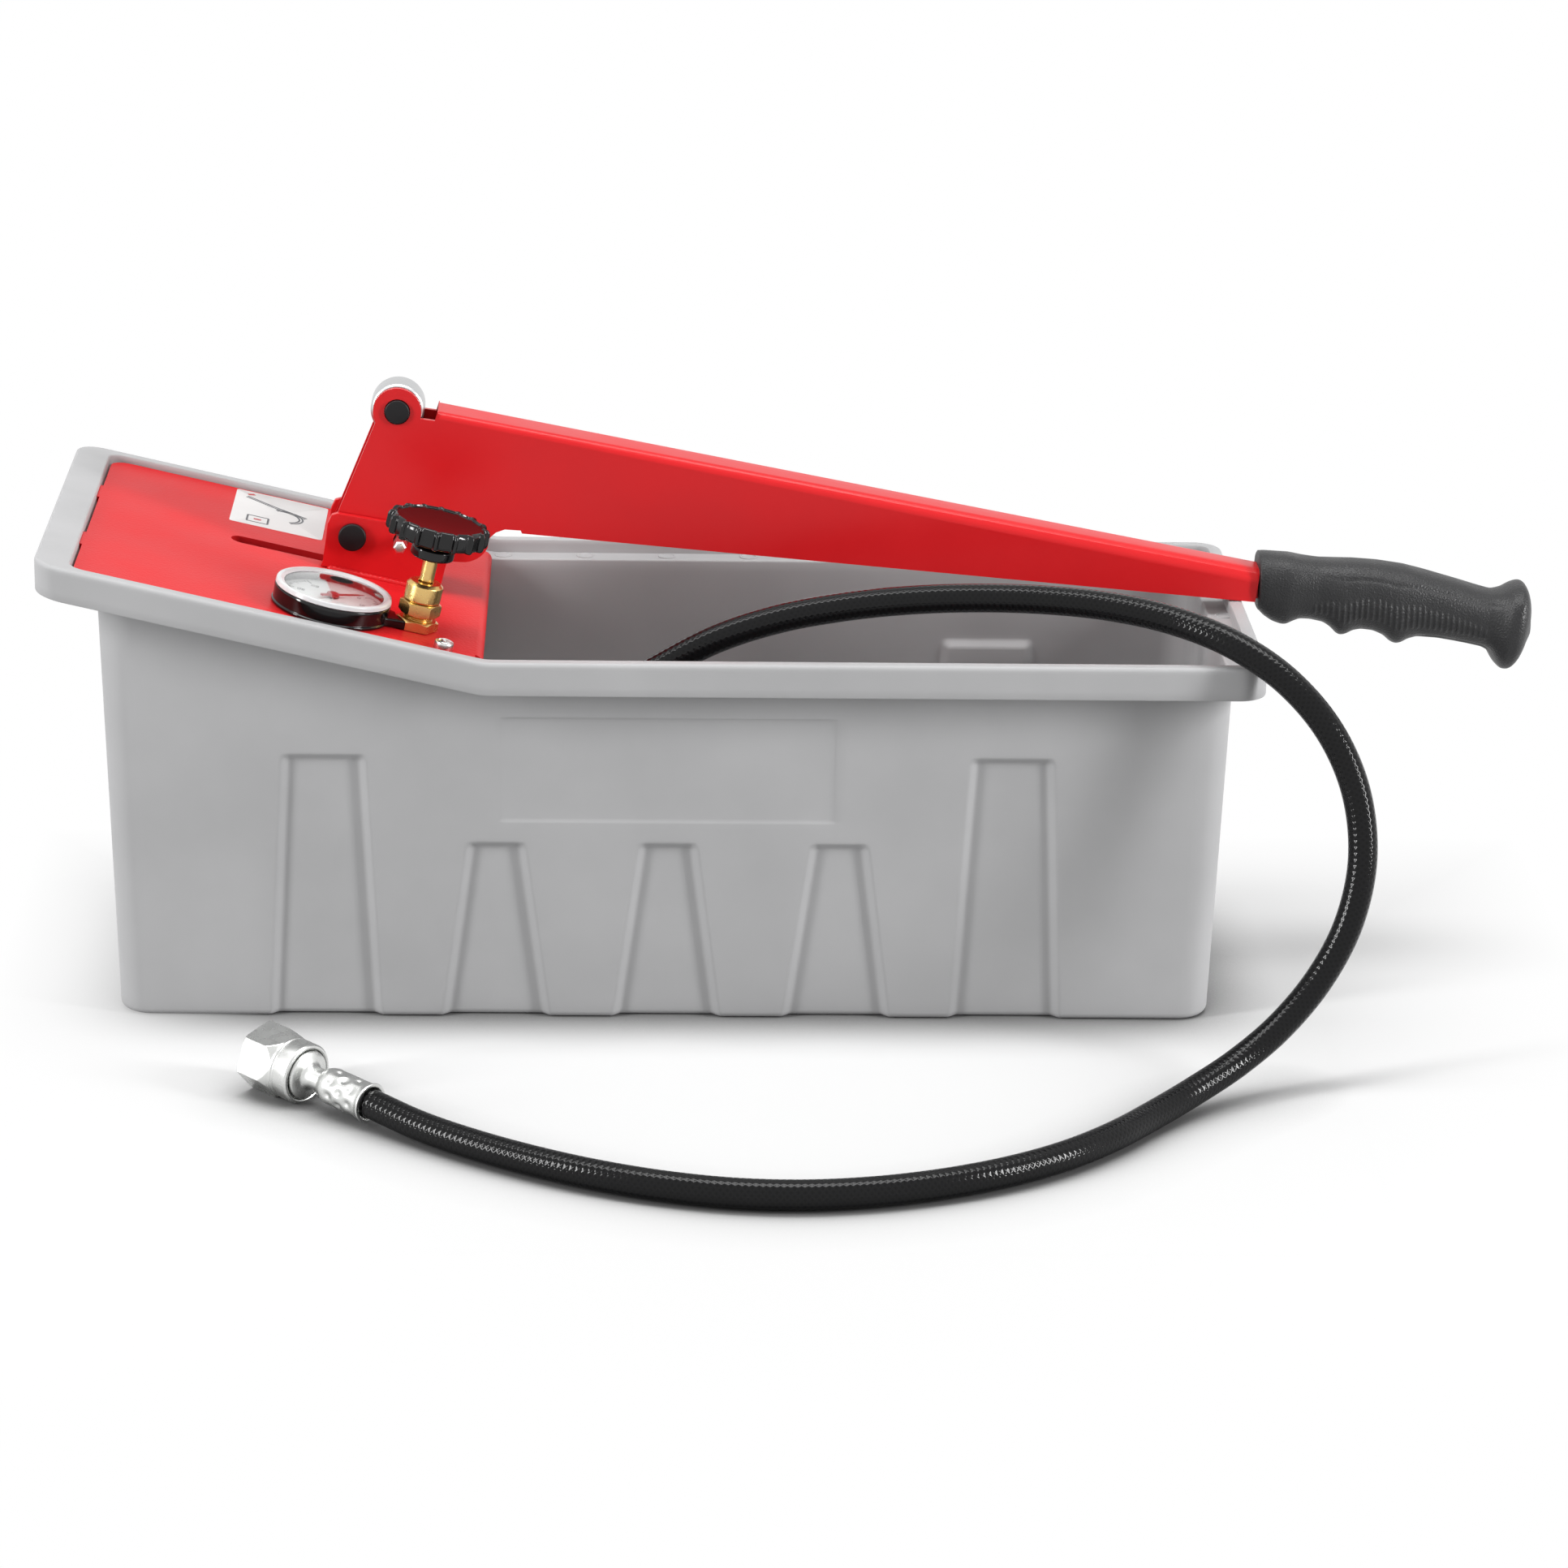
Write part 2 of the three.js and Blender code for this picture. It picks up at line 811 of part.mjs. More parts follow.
// A headed pin through one ear and one cheek, clear of the rod between the cheeks
function makePivotPin(side) {
  const ear = linkPlane + (side * earSpread) / 2;
  const inner = linkPlane + side * (leverWidth / 2 - leverSheet);
  const under = ear + side * seatGap;
  const outer = under + side * pivotHeadLength;
  const shank = [inner, under + side * weldDistance * 2].sort((a, b) => a - b);
  const head = [under, outer].sort((a, b) => a - b);
  return joined(
    solidOf(pinBar(pivotX, pivotZ, pivotPinRadius, ...shank)),
    solidOf(pinBar(pivotX, pivotZ, pivotHeadRadius, ...head)),
  );
}

function makeEarScrew() {
  const ear = linkPlane - earSpread / 2;
  return solidOf(
    pinBar(pivotX + screwX, pivotZ + screwZ, screwRadius, ear - screwStandoff, ear + earSheet),
  );
}

// Lever

function leverUnder(x) {
  return underDrop - underSlopeShare * (x - underStart);
}

function leverTop(x) {
  return lugZ - webSlopeShare * (x - webStart);
}

function leverOutline() {
  const boss = Math.hypot(lobeX, lobeZ);
  const widen = Math.asin((lobeRadius - pivotBossRadius) / boss);
  const lean = Math.atan2(lobeZ, lobeX) - Math.PI / 2 - widen;
  const lobeEnd = Math.atan2(cutoutShares[0][1], cutoutShares[0][0]);
  const edgeLean = (pivotBossRadius - lugEdgeOffset) / Math.hypot(lugX, lugZ);
  const edgeFoot = Math.atan2(lugZ, lugX) + Math.acos(edgeLean);
  const lugArcEnd = edgeFoot + Math.acos(lugEdgeOffset / lugRadius);
  const notch = Math.atan2(lugNotchStartShares[1], lugNotchStartShares[0]);
  const endTilt = gripTiltShare * (leverTopEnd - leverUnderEnd);
  return [
    ...arc(0, 0, pivotBossRadius, edgeFoot, lean + 2 * Math.PI, cornerSteps * 3),
    ...arc(lobeX, lobeZ, lobeRadius, lean, lobeEnd, cornerSteps * 2),
    ...cutoutShares.slice(1).map(([x, z]) => [lobeX + x * lobeRadius, lobeZ + z * lobeRadius]),
    [underStart, underDrop],
    [gripStart - endTilt - seatGap, leverUnder(gripStart - endTilt)],
    [gripStart - seatGap, leverTop(gripStart)],
    [webStart, lugZ],
    [lugX + lugNotchShares[0] * lugRadius, lugZ + lugNotchShares[1] * lugRadius],
    ...arc(lugX, lugZ, lugRadius, notch, lugArcEnd, cornerSteps * 4),
  ];
}

function fromPivot(outline) {
  return outline.map(([x, z]) => [pivotX + x, pivotZ + z]);
}

// A bar along the lever whose top corners are rounded more towards the grip
function creasedBar() {
  const foot = leverUnderEnd - lobeRadius - underStart;
  const half = leverWidth / 2;
  const ring = (x, radius) => {
    const top = leverTop(x);
    const places = [
      [-half, foot],
      ...arc(-half + radius, top - radius, radius, Math.PI, Math.PI / 2, cornerSteps),
      ...arc(half - radius, top - radius, radius, Math.PI / 2, 0, cornerSteps),
      [half, foot],
    ];
    return places
      .reverse()
      .map(([y, z]) => new THREE.Vector3(pivotX + x, linkPlane + y, pivotZ + z));
  };
  return solidOf(
    ringLoft([ring(webStart, creaseRadiusNear), ring(gripStart + cutOverrun, creaseRadiusFar)]),
  );
}

function makeLever() {
  const half = leverWidth / 2;
  const outline = fromPivot(leverOutline());
  const blank = solidOf(crosswise(outline, linkPlane - half, linkPlane + half));
  const split = webStart + seatGap;
  const high = lugZ + lugRadius + cutOverrun;
  const low = leverUnderEnd - lobeRadius;
  const left = -pivotBossRadius - lugRadius;
  const cheeks = [
    [left, low],
    [split, low],
    [split, high],
    [left, high],
  ];
  const cheekBlock = solidOf(crosswise(fromPivot(cheeks), linkPlane - half, linkPlane + half));
  let lever = blank.intersect(cheekBlock).add(blank.intersect(creasedBar()));
  const inner = half - leverSheet;
  const channel = [
    [left, low],
    [underStart, low],
    [underStart, leverUnder(underStart) + leverSheet],
    [channelEnd, leverUnder(channelEnd) + leverSheet],
    [channelEnd, leverTop(channelEnd) - leverSheet],
    [webStart, leverTop(webStart) - leverSheet],
    [webStart, high],
    [left, high],
  ];
  lever = lever.subtract(
    solidOf(crosswise(fromPivot(channel), linkPlane - inner, linkPlane + inner)),
  );
  const slit = [
    [underStart - cutOverrun, low],
    [lipEnd, low + underDrop],
    [lipEnd, leverUnder(lipEnd) + leverSheet * 2],
    [underStart - cutOverrun, leverUnder(underStart) + leverSheet * 2],
  ];
  const open = half - lipWidth;
  lever = lever.subtract(solidOf(crosswise(fromPivot(slit), linkPlane - open, linkPlane + open)));
  lever = lever.add(solidOf(tang(0)));
  for (const [x, z, radius] of [
    [0, 0, pivotPinRadius],
    [lugX, lugZ, rodPinRadius],
  ]) {
    const drill = pinBar(
      pivotX + x,
      pivotZ + z,
      radius + runGap,
      linkPlane - leverWidth,
      linkPlane + leverWidth,
    );
    lever = lever.subtract(solidOf(drill));
  }
  return lever;
}

// The lever's tongue inside the grip, or with a margin the pocket for it
function tang(margin) {
  const topAt = (x) => -tangTop - tangSlopeShare * (x - channelEnd) + margin;
  const from = margin > 0 ? gripStart - tangTop : channelEnd;
  const to = tangEnd + margin;
  const outline = [
    [from, topAt(from) - tangDepth - 2 * margin],
    [to, topAt(to) - tangDepth - 2 * margin],
    [to, topAt(to)],
    [from, topAt(from)],
  ];
  const half = tangWidth / 2 + margin;
  return crosswise(fromPivot(outline), linkPlane - half, linkPlane + half);
}

function makeGrip() {
  const count = cornerSteps * 4;
  const rings = gripStationShares.map(([along, top, foot, wide], level) => {
    const middle = (gripDepth * (top + foot)) / 2;
    const tall = (gripDepth * (top - foot)) / 2;
    const tilt = level < gripStationShares.length - 1 ? gripTiltShare : 0;
    return Array.from({ length: count }, (_, i) => {
      const turn = (2 * Math.PI * i) / count;
      const [c, s] = [Math.cos(turn), Math.sin(turn)];
      const y = wide * gripDepth * Math.sign(c) * Math.abs(c) ** gripRoundnessShare;
      const z = tall * Math.sign(s) * Math.abs(s) ** gripRoundnessShare;
      return new THREE.Vector3(
        pivotX + gripStart + along * gripLength + tilt * z,
        linkPlane + y,
        pivotZ + middle + z,
      );
    });
  });
  return solidOf(ringLoft(rings)).subtract(solidOf(tang(seatGap)));
}

function makeRodPin() {
  const half = rodPinLength / 2;
  return solidOf(
    pinBar(pivotX + lugX, pivotZ + lugZ, rodPinRadius, linkPlane - half, linkPlane + half),
  );
}

// Piston and rod, drawn below the upper pin with Z up the rod

function makePistonRod() {
  const neck = -pistonReach + pistonLength + seatGap;
  const profile = [
    [0, -pistonReach + seatGap],
    [rodSpigotRadius, -pistonReach + seatGap],
    [rodSpigotRadius, neck],
    [rodRadius, neck],
    [rodRadius, -rodPinRadius * 1.5],
    [0, -rodPinRadius * 1.5],
  ];
  const eye = pinBar(0, 0, eyeRadius, -eyeWidth / 2, eyeWidth / 2);
  const hole = pinBar(0, 0, rodPinRadius + runGap, -eyeWidth, eyeWidth);
  const rod = joined(solidOf(turned(profile, pipeSides)), solidOf(eye)).subtract(solidOf(hole));
  return rodPlaced(rod, lugX, lugZ);
}

function rodPlaced(solid, x, z) {
  return solidOf(onRod(geometryOf(solid), x, z));
}

function makePiston() {
  const foot = -pistonReach;
  const top = foot + pistonLength;
  const low = foot + (pistonLength - sealLength) / 2 - seatGap;
  const groove = pistonRadius - sealDepth - seatGap;
  const profile = [
    [rodSpigotRadius + seatGap, foot],
    [pistonRadius, foot],
    [pistonRadius, low],
    [groove, low],
    [groove, low + sealLength + 2 * seatGap],
    [pistonRadius, low + sealLength + 2 * seatGap],
    [pistonRadius, top],
    [rodSpigotRadius + seatGap, top],
    [rodSpigotRadius + seatGap, foot],
  ];
  return rodPlaced(solidOf(turned(profile)), lugX, lugZ);
}

function makePistonSeal() {
  const low = -pistonReach + (pistonLength - sealLength) / 2;
  const inner = pistonRadius - sealDepth;
  const outer = pistonRadius + sealStandout;
  return rodPlaced(solidOf(turned(tubeProfile(inner, outer, low, low + sealLength))), lugX, lugZ);
}

// Cylinder, drawn about its trunnions with Z up the rod

function cylinderPiece(profile, sides = fineSides) {
  return rodPlaced(solidOf(turned(profile, sides)), trunnionX, trunnionZ);
}

function makeCylinderTube() {
  return cylinderPiece(
    tubeProfile(boreRadius, tubeRadius, -tubeFoot + seatGap, tubeTop - seatGap),
  );
}

function makeGlandNut() {
  return cylinderPiece([
    [glandBoreRadius, tubeTop],
    [tubeRadius, tubeTop],
    [tubeRadius, tubeTop + glandFlange],
    [glandBossRadius, tubeTop + glandFlange],
    [glandBossRadius, tubeTop + glandFlange + glandBossHeight],
    [glandBoreRadius, tubeTop + glandFlange + glandBossHeight],
    [glandBoreRadius, tubeTop],
  ]);
}

function makeCylinderBase() {
  return cylinderPiece(
    tubeProfile(suctionBoreRadius, tubeRadius, -tubeFoot - baseThickness, -tubeFoot),
  );
}

function makeSuctionPipe() {
  const top = -tubeFoot - baseThickness - seatGap;
  return cylinderPiece(
    tubeProfile(suctionBoreRadius, suctionPipeRadius, -suctionPipeEnd, top),
    pipeSides,
  );
}

function makeStrainer() {
  const top = -suctionPipeEnd - seatGap;
  const foot = top - strainerLength;
  const inner = strainerRadius - strainerWall;
  const profile = [
    [0, foot],
    [strainerRadius, foot],
    [strainerRadius, top],
    [suctionBoreRadius, top],
    [suctionBoreRadius, top - strainerWall],
    [inner, top - strainerWall],
    [inner, foot + strainerWall],
    [0, foot + strainerWall],
  ];
  let cup = solidOf(turned(profile, pipeSides));
  for (let i = 0; i < strainerSlotCount; i += 1) {
    const slit = box(
      inner / 2,
      strainerRadius + cutOverrun,
      -strainerSlotWidth / 2,
      strainerSlotWidth / 2,
      foot + 2 * strainerWall,
      top - 2 * strainerWall,
    );
    cup = cup.subtract(solidOf(slit.rotateZ((2 * Math.PI * i) / strainerSlotCount)));
  }
  return rodPlaced(cup, trunnionX, trunnionZ);
}

function makeTrunnion(side, end) {
  const places = [side * (tubeRadius + seatGap), side * end].sort((a, b) => a - b);
  const bar = pinBar(0, 0, trunnionRadius, ...places, pipeSides);
  return rodPlaced(solidOf(bar), trunnionX, trunnionZ);
}

// Hangers, swivel housing and pipe under the plate

function makeHanger(side) {
  const x = pivotX + trunnionX;
  const z = pivotZ + trunnionZ;
  const rest = deckUnder - seatGap;
  const lean = Math.asin(hangerEndRadius / hangerReach) / 2;
  const outline = [
    ...arc(x, z, hangerEndRadius, Math.PI + lean, 2 * Math.PI - lean, cornerSteps * 2),
    [x + hangerReach, deckLevel(x + hangerReach, rest)],
    [x - hangerReach, deckLevel(x - hangerReach, rest)],
  ];
  const places = [side * hangerInset, side * (hangerInset + hangerSheet)].sort((a, b) => a - b);
  const [y0, y1] = places.map((y) => linkPlane + y);
  const drill = pinBar(x, z, trunnionRadius + runGap, y0 - cutOverrun, y1 + cutOverrun, pipeSides);
  return solidOf(crosswise(outline, y0, y1)).subtract(solidOf(drill));
}

function makeSwivelHousing() {
  const x = pivotX + trunnionX;
  const z = pivotZ + trunnionZ;
  const near = linkPlane - hangerInset - hangerSheet - seatGap;
  const bar = pinBar(x, z, housingRadius, linkPlane - housingEnd, near, pipeSides);
  const bore = pinBar(
    x,
    z,
    trunnionRadius + runGap,
    linkPlane - frontTrunnionEnd - runGap,
    near + cutOverrun,
    pipeSides,
  );
  return solidOf(bar).subtract(solidOf(bore));
}

function pipeAlong(points, radius, sides, steps) {
  const circle = new THREE.Shape(
    arc(0, 0, radius, 0, 2 * Math.PI, sides)
      .slice(0, sides)
      .map(([x, y]) => new THREE.Vector2(x, y)),
  );
  const path = new THREE.CatmullRomCurve3(points, false, "centripetal");
  return solidOf(
    new THREE.ExtrudeGeometry(circle, { steps, bevelEnabled: false, extrudePath: path }),
  );
}

function makeDeliveryPipe() {
  const x = pivotX + trunnionX;
  const z = pivotZ + trunnionZ;
  const start = new THREE.Vector3(x, linkPlane - housingEnd - seatGap, z);
  const out = new THREE.Vector3(0, -deliveryLead, 0);
  const end = deckPoint(valveAlong - blockLength / 2 - seatGap, valveY, blockTop - blockDepth / 2);
  const back = deckPoint(
    valveAlong - blockLength / 2 - deliveryLead,
    valveY,
    blockTop - blockDepth / 2,
  );
  const first = start.clone().add(out);
  const points = [
    start,
    first,
    first.clone().lerp(back, 0.3).add(out.clone().multiplyScalar(0.4)),
    first.clone().lerp(back, 0.65).add(out.clone().multiplyScalar(0.4)),
    back,
    end,
  ];
  return pipeAlong(points, deliveryRadius, hoseSides, hoseSides * 2);
}

// Valve block and valve

function makeManifoldBlock() {
  const right = valveAlong + blockLength / 2;
  const block = box(
    valveAlong - blockLength / 2,
    right,
    valveY - blockWidth / 2,
    valveY + blockWidth / 2,
    blockTop - blockDepth,
    blockTop,
  );
  const seat = roundBar(
    valveShankRadius + runGap,
    valveShankFoot - runGap,
    blockTop + cutOverrun,
    pipeSides,
  ).translate(valveAlong, valveY, 0);
  const port = roundBar(portRadius + runGap, -portDepth, cutOverrun, pipeSides)
    .rotateY(Math.PI / 2)
    .translate(right, valveY, portHeight);
  const solid = solidOf(block).subtract(solidOf(seat)).subtract(solidOf(port));
  return solid.transform(deckMatrix.elements);
}

function makeValveBody() {
  const rest = -deckDrop + seatGap;
  const parts = joined(
    solidOf(roundBar(valveShankRadius, valveShankFoot, bodyHexFoot + weldDistance * 2)),
    solidOf(hexBar(baseHexRadius, rest, baseHexTop)),
    solidOf(hexBar(bodyHexRadius, bodyHexFoot, bodyHexTop)),
  );
  const bore = roundBar(
    spindleRadius + runGap,
    valveShankFoot - cutOverrun,
    bodyHexTop + cutOverrun,
    pipeSides,
  );
  return onValve(parts.subtract(solidOf(bore)));
}

function onValve(solid) {
  return solidOf(onDeck(geometryOf(solid).translate(valveAlong, valveY, 0)));
}

function makeValveGland() {
  const profile = [
    [spindleRadius + runGap, bodyHexTop + seatGap],
    [glandRadius, bodyHexTop + seatGap],
    [glandRadius, glandTop - glandChamfer],
    [glandRadius - glandChamfer, glandTop],
    [spindleRadius + runGap, glandTop],
    [spindleRadius + runGap, bodyHexTop + seatGap],
  ];
  return onValve(solidOf(turned(profile)));
}

function makeSpindle() {
  const profile = [
    [0, spindleFoot - spindleRadius / 2],
    [spindleRadius, spindleFoot],
    [spindleRadius, spindleTop],
    [0, spindleTop],
  ];
  return onValve(solidOf(turned(profile, pipeSides)));
}

function makeKnob() {
  const count = knobFluteCount * cornerSteps;
  const ringAt = (height, wide) =>
    Array.from({ length: count }, (_, i) => {
      const turn = (2 * Math.PI * i) / count;
      const bite = knobFluteDepth * (0.5 - 0.5 * Math.cos(knobFluteCount * turn));
      const radius = (knobRadius - bite) * wide;
      return new THREE.Vector3(radius * Math.cos(turn), radius * Math.sin(turn), height);
    });
  const rings = knobRingShares.map(([up, wide]) => ringAt(knobFoot + up * knobHeight, wide));
  rings.push(ringAt(knobFoot + knobDishShare * knobHeight, 0.3));
  const hub = turned([
    [0, hubFoot],
    [hubRadius, hubFoot],
    [hubRadius, hubTop],
    [knobNeckRadius, hubTop],
    [knobNeckRadius, knobFoot + knobHeight / 2],
    [0, knobFoot + knobHeight / 2],
  ]);
  const bore = roundBar(
    spindleRadius + seatGap,
    hubFoot - cutOverrun,
    spindleTop + seatGap,
    pipeSides,
  );
  return onValve(joined(solidOf(ringLoft(rings)), solidOf(hub)).subtract(solidOf(bore)));
}

// Gauge

function onGauge(solid) {
  return solidOf(onDeck(geometryOf(solid).translate(gaugeAlong, gaugeY, 0)));
}

function makeGaugeCase() {
  const rest = -deckDrop + seatGap;
  const profile = [
    [0, rest],
    [caseRadius - caseEdge, rest],
    [caseRadius, rest + caseEdge],
    [caseRadius, caseTop - caseEdge / 2],
    [caseRadius - caseEdge / 2, caseTop],
    [caseBore, caseTop],
    [caseBore, caseFloor],
    [0, caseFloor],
  ];
  const reach = valveAlong - gaugeAlong - baseHexRadius - seatGap;
  const neck = upright(
    [
      [caseBore + caseEdge, -neckWidth / 2],
      [reach, -neckTip / 2 + valveY - gaugeY],
      [reach, neckTip / 2 + valveY - gaugeY],
      [caseBore + caseEdge, neckWidth / 2],
    ],
    rest,
    baseHexTop,
  );
  return onGauge(joined(solidOf(turned(profile)), solidOf(neck)));
}

function makeGaugeDial() {
  const low = caseFloor + seatGap;
  const profile = tubeProfile(dialHoleRadius, caseBore - seatGap, low, low + dialThickness);
  return onGauge(solidOf(turned(profile)));
}

function makeGaugePointer() {
  const low = pointerHeight;
  const needle = upright(
    [
      [-pointerTail, -pointerWidth / 2],
      [pointerLength, -pointerWidth / 8],
      [pointerLength, pointerWidth / 8],
      [-pointerTail, pointerWidth / 2],
    ],
    low,
    low + pointerThickness,
  );
  const solid = joined(
    solidOf(needle),
    solidOf(roundBar(pointerHubRadius, low, low + 2 * pointerThickness, pipeSides)),
    solidOf(roundBar(pointerArborRadius, caseFloor + seatGap, low + pointerThickness, pipeSides)),
  );
  return onGauge(solidOf(geometryOf(solid).rotateZ(pointerRestTurn)));
}

function makeGaugeLens() {
  const low = caseTop + seatGap;
  const edge = low + lensHeight;
  const dome = (radius, height, rise, steps) =>
    Array.from({ length: steps + 1 }, (_, i) => {
      const share = i / steps;
      return [radius * share, height + rise * (1 - share * share)];
    });
  const inner = lensRadius - lensThickness - lensEdge;
  const profile = [
    ...dome(inner, low + lensHeight - lensThickness, lensDome, cornerSteps),
    [inner, low],
    [lensRadius, low],
    [lensRadius, edge - lensEdge],
    ...dome(lensRadius - lensEdge, edge, lensDome, cornerSteps).reverse(),
  ];
  return onGauge(solidOf(turned(profile)));
}

// Hose and its end pieces

// A turned piece whose length runs along a direction from a place
function alongLine(geometry, place, direction) {
  const turn = new THREE.Quaternion().setFromUnitVectors(
    new THREE.Vector3(0, 0, 1),
    direction.clone().normalize(),
  );
  return geometry.applyQuaternion(turn).translate(place.x, place.y, place.z);
}

function makeOutletNipple() {
  const from = -portDepth + seatGap;
  const bar = roundBar(portRadius, from, nippleLength, pipeSides).rotateY(Math.PI / 2);
  return solidOf(onDeck(bar.translate(valveAlong + blockLength / 2, valveY, portHeight)));
}

function makeInnerFerrule() {
  const from = nippleLength + seatGap;
  const bar = roundBar(ferruleRadius, from, nippleLength + ferruleLength, pipeSides);
  const placed = bar.rotateY(Math.PI / 2).translate(valveAlong + blockLength / 2, valveY, portHeight);
  return solidOf(onDeck(placed));
}

function makeHose() {
  const points = hoseRoute.map(([x, y, z]) => new THREE.Vector3(x, y, z));
  return pipeAlong(points, hoseRadius, hoseSides, hoseSteps);
}

function hoseEnd() {
  const [a, b] = hoseRoute.slice(-2).map(([x, y, z]) => new THREE.Vector3(x, y, z));
  return { place: b, direction: b.clone().sub(a) };
}

function endPiece(geometry) {
  const { place, direction } = hoseEnd();
  return solidOf(alongLine(geometry, place, direction));
}

function makeOuterFerrule() {
  return endPiece(roundBar(sleeveRadius, seatGap, sleeveLength, pipeSides));
}

function makeHoseNipple() {
  const from = sleeveLength + seatGap;
  const nutStart = sleeveLength + stemLength + seatGap;
  const collar = nutStart + nutBackWall + seatGap;
  return endPiece(
    turned(
      [
        [0, from],
        [stemRadius, from],
        [stemWaistRadius, nutStart - seatGap],
        [stemWaistRadius, collar],
        [nutBoreRadius - runGap, collar],
        [nutBoreRadius - runGap, collar + stemCollarLength],
        [0, collar + stemCollarLength],
      ],
      pipeSides,
    ),
  );
}

function makeSwivelNut() {
  const from = sleeveLength + stemLength + seatGap;
  const end = from + nutLength;
  const round = roundBar(nutRadius, from, from + nutCollar);
  const corner = nutHexFlats / Math.sqrt(3);
  const hex = hexBar(corner, from + nutCollar - seatGap, end);
  const bore = turned([
    [0, from - cutOverrun],
    [stemWaistRadius + runGap, from - cutOverrun],
    [stemWaistRadius + runGap, from + nutBackWall],
    [nutBoreRadius, from + nutBackWall],
    [nutBoreRadius, end + cutOverrun],
    [0, end + cutOverrun],
  ]);
  const solid = joined(solidOf(round), solidOf(hex)).subtract(solidOf(bore));
  return endPiece(geometryOf(solid));
}

// Materials and the finished group

const looks = {
  tankGrey: new THREE.MeshStandardMaterial({ color: "#a9adb0", roughness: 0.6 }),
  redPaint: new THREE.MeshStandardMaterial({ color: "#c4121a", roughness: 0.4 }),
  blackPlastic: new THREE.MeshStandardMaterial({ color: "#17181a", roughness: 0.4 }),
  blackGloss: new THREE.MeshStandardMaterial({ color: "#101113", roughness: 0.15 }),
  steel: new THREE.MeshStandardMaterial({ color: "#b4b6b6", roughness: 0.35, metalness: 1 }),
  zinc: new THREE.MeshStandardMaterial({ color: "#c6c8c6", roughness: 0.3, metalness: 1 }),
  brass: new THREE.MeshStandardMaterial({ color: "#c9a45a", roughness: 0.3, metalness: 1 }),
  rubber: new THREE.MeshStandardMaterial({ color: "#1a1a1b", roughness: 0.5 }),
  dialWhite: new THREE.MeshStandardMaterial({ color: "#f2f2ee", roughness: 0.5 }),
  pointerRed: new THREE.MeshStandardMaterial({ color: "#d02020", roughness: 0.5 }),
  glass: new THREE.MeshStandardMaterial({
    color: "#e8eef0",
    roughness: 0.05,
    transparent: true,
    opacity: 0.35,
  }),
};

const nodes = [
  ["tank", makeTank(), looks.tankGrey],
  ["cover_plate", makeCoverPlate(), looks.redPaint],
  ["front_cover_bolt", makeCoverBolt(-boltSpacing / 2), looks.zinc],
  ["rear_cover_bolt", makeCoverBolt(boltSpacing / 2), looks.zinc],
  ["front_ear", makeEar(-1), looks.redPaint],
  ["rear_ear", makeEar(1), looks.redPaint],
  ["front_pivot_pin", makePivotPin(-1), looks.blackPlastic],
  ["rear_pivot_pin", makePivotPin(1), looks.blackPlastic],
  ["ear_screw", makeEarScrew(), looks.zinc],
  ["lever", makeLever(), looks.redPaint],
  ["grip", makeGrip(), looks.blackPlastic],
  ["rod_pin", makeRodPin(), looks.blackPlastic],
  ["piston_rod", makePistonRod(), looks.steel],
  ["piston", makePiston(), looks.brass],
  ["piston_seal", makePistonSeal(), looks.rubber],
  ["cylinder_tube", makeCylinderTube(), looks.brass],
  ["gland_nut", makeGlandNut(), looks.brass],
  ["cylinder_base", makeCylinderBase(), looks.brass],
  ["suction_pipe", makeSuctionPipe(), looks.blackPlastic],
  ["suction_strainer", makeStrainer(), looks.blackPlastic],
  ["front_trunnion", makeTrunnion(-1, frontTrunnionEnd), looks.steel],
  ["rear_trunnion", makeTrunnion(1, rearTrunnionEnd), looks.steel],
  ["front_hanger", makeHanger(-1), looks.redPaint],
  ["rear_hanger", makeHanger(1), looks.redPaint],
  ["swivel_housing", makeSwivelHousing(), looks.brass],
  ["delivery_pipe", makeDeliveryPipe(), looks.brass],
  ["manifold_block", makeManifoldBlock(), looks.brass],
  ["valve_body", makeValveBody(), looks.brass],
  ["valve_gland", makeValveGland(), looks.brass],
  ["valve_spindle", makeSpindle(), looks.steel],
  ["valve_knob", makeKnob(), looks.blackGloss],
  ["gauge_case", makeGaugeCase(), looks.blackPlastic],
  ["gauge_dial", makeGaugeDial(), looks.dialWhite],
  ["gauge_pointer", makeGaugePointer(), looks.pointerRed],
  ["gauge_lens", makeGaugeLens(), looks.glass],
  ["outlet_nipple", makeOutletNipple(), looks.steel],
  ["inner_ferrule", makeInnerFerrule(), looks.steel],
  ["hose", makeHose(), looks.rubber],
  ["outer_ferrule", makeOuterFerrule(), looks.zinc],
  ["hose_nipple", makeHoseNipple(), looks.zinc],
  ["swivel_nut", makeSwivelNut(), looks.zinc],
];

const pump = new THREE.Group();
pump.name = "hydrostatic_test_pump";
for (const [name, solid, material] of nodes) {
  const mesh = new THREE.Mesh(geometryOf(solid), material);
  mesh.name = name;
  pump.add(mesh);
}
pump.position.x = -sectionShift;

export default pump;
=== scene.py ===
# %% [markdown]
# A hydrostatic test pump: a grey moulded tank, a red plate and lever, a gauge, a brass valve and a black hose.
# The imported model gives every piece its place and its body. This lesson dresses it, piece by piece.
# Shapes are worked out in millimetres about the middle of the tank, and moved to the model's frame at the end.

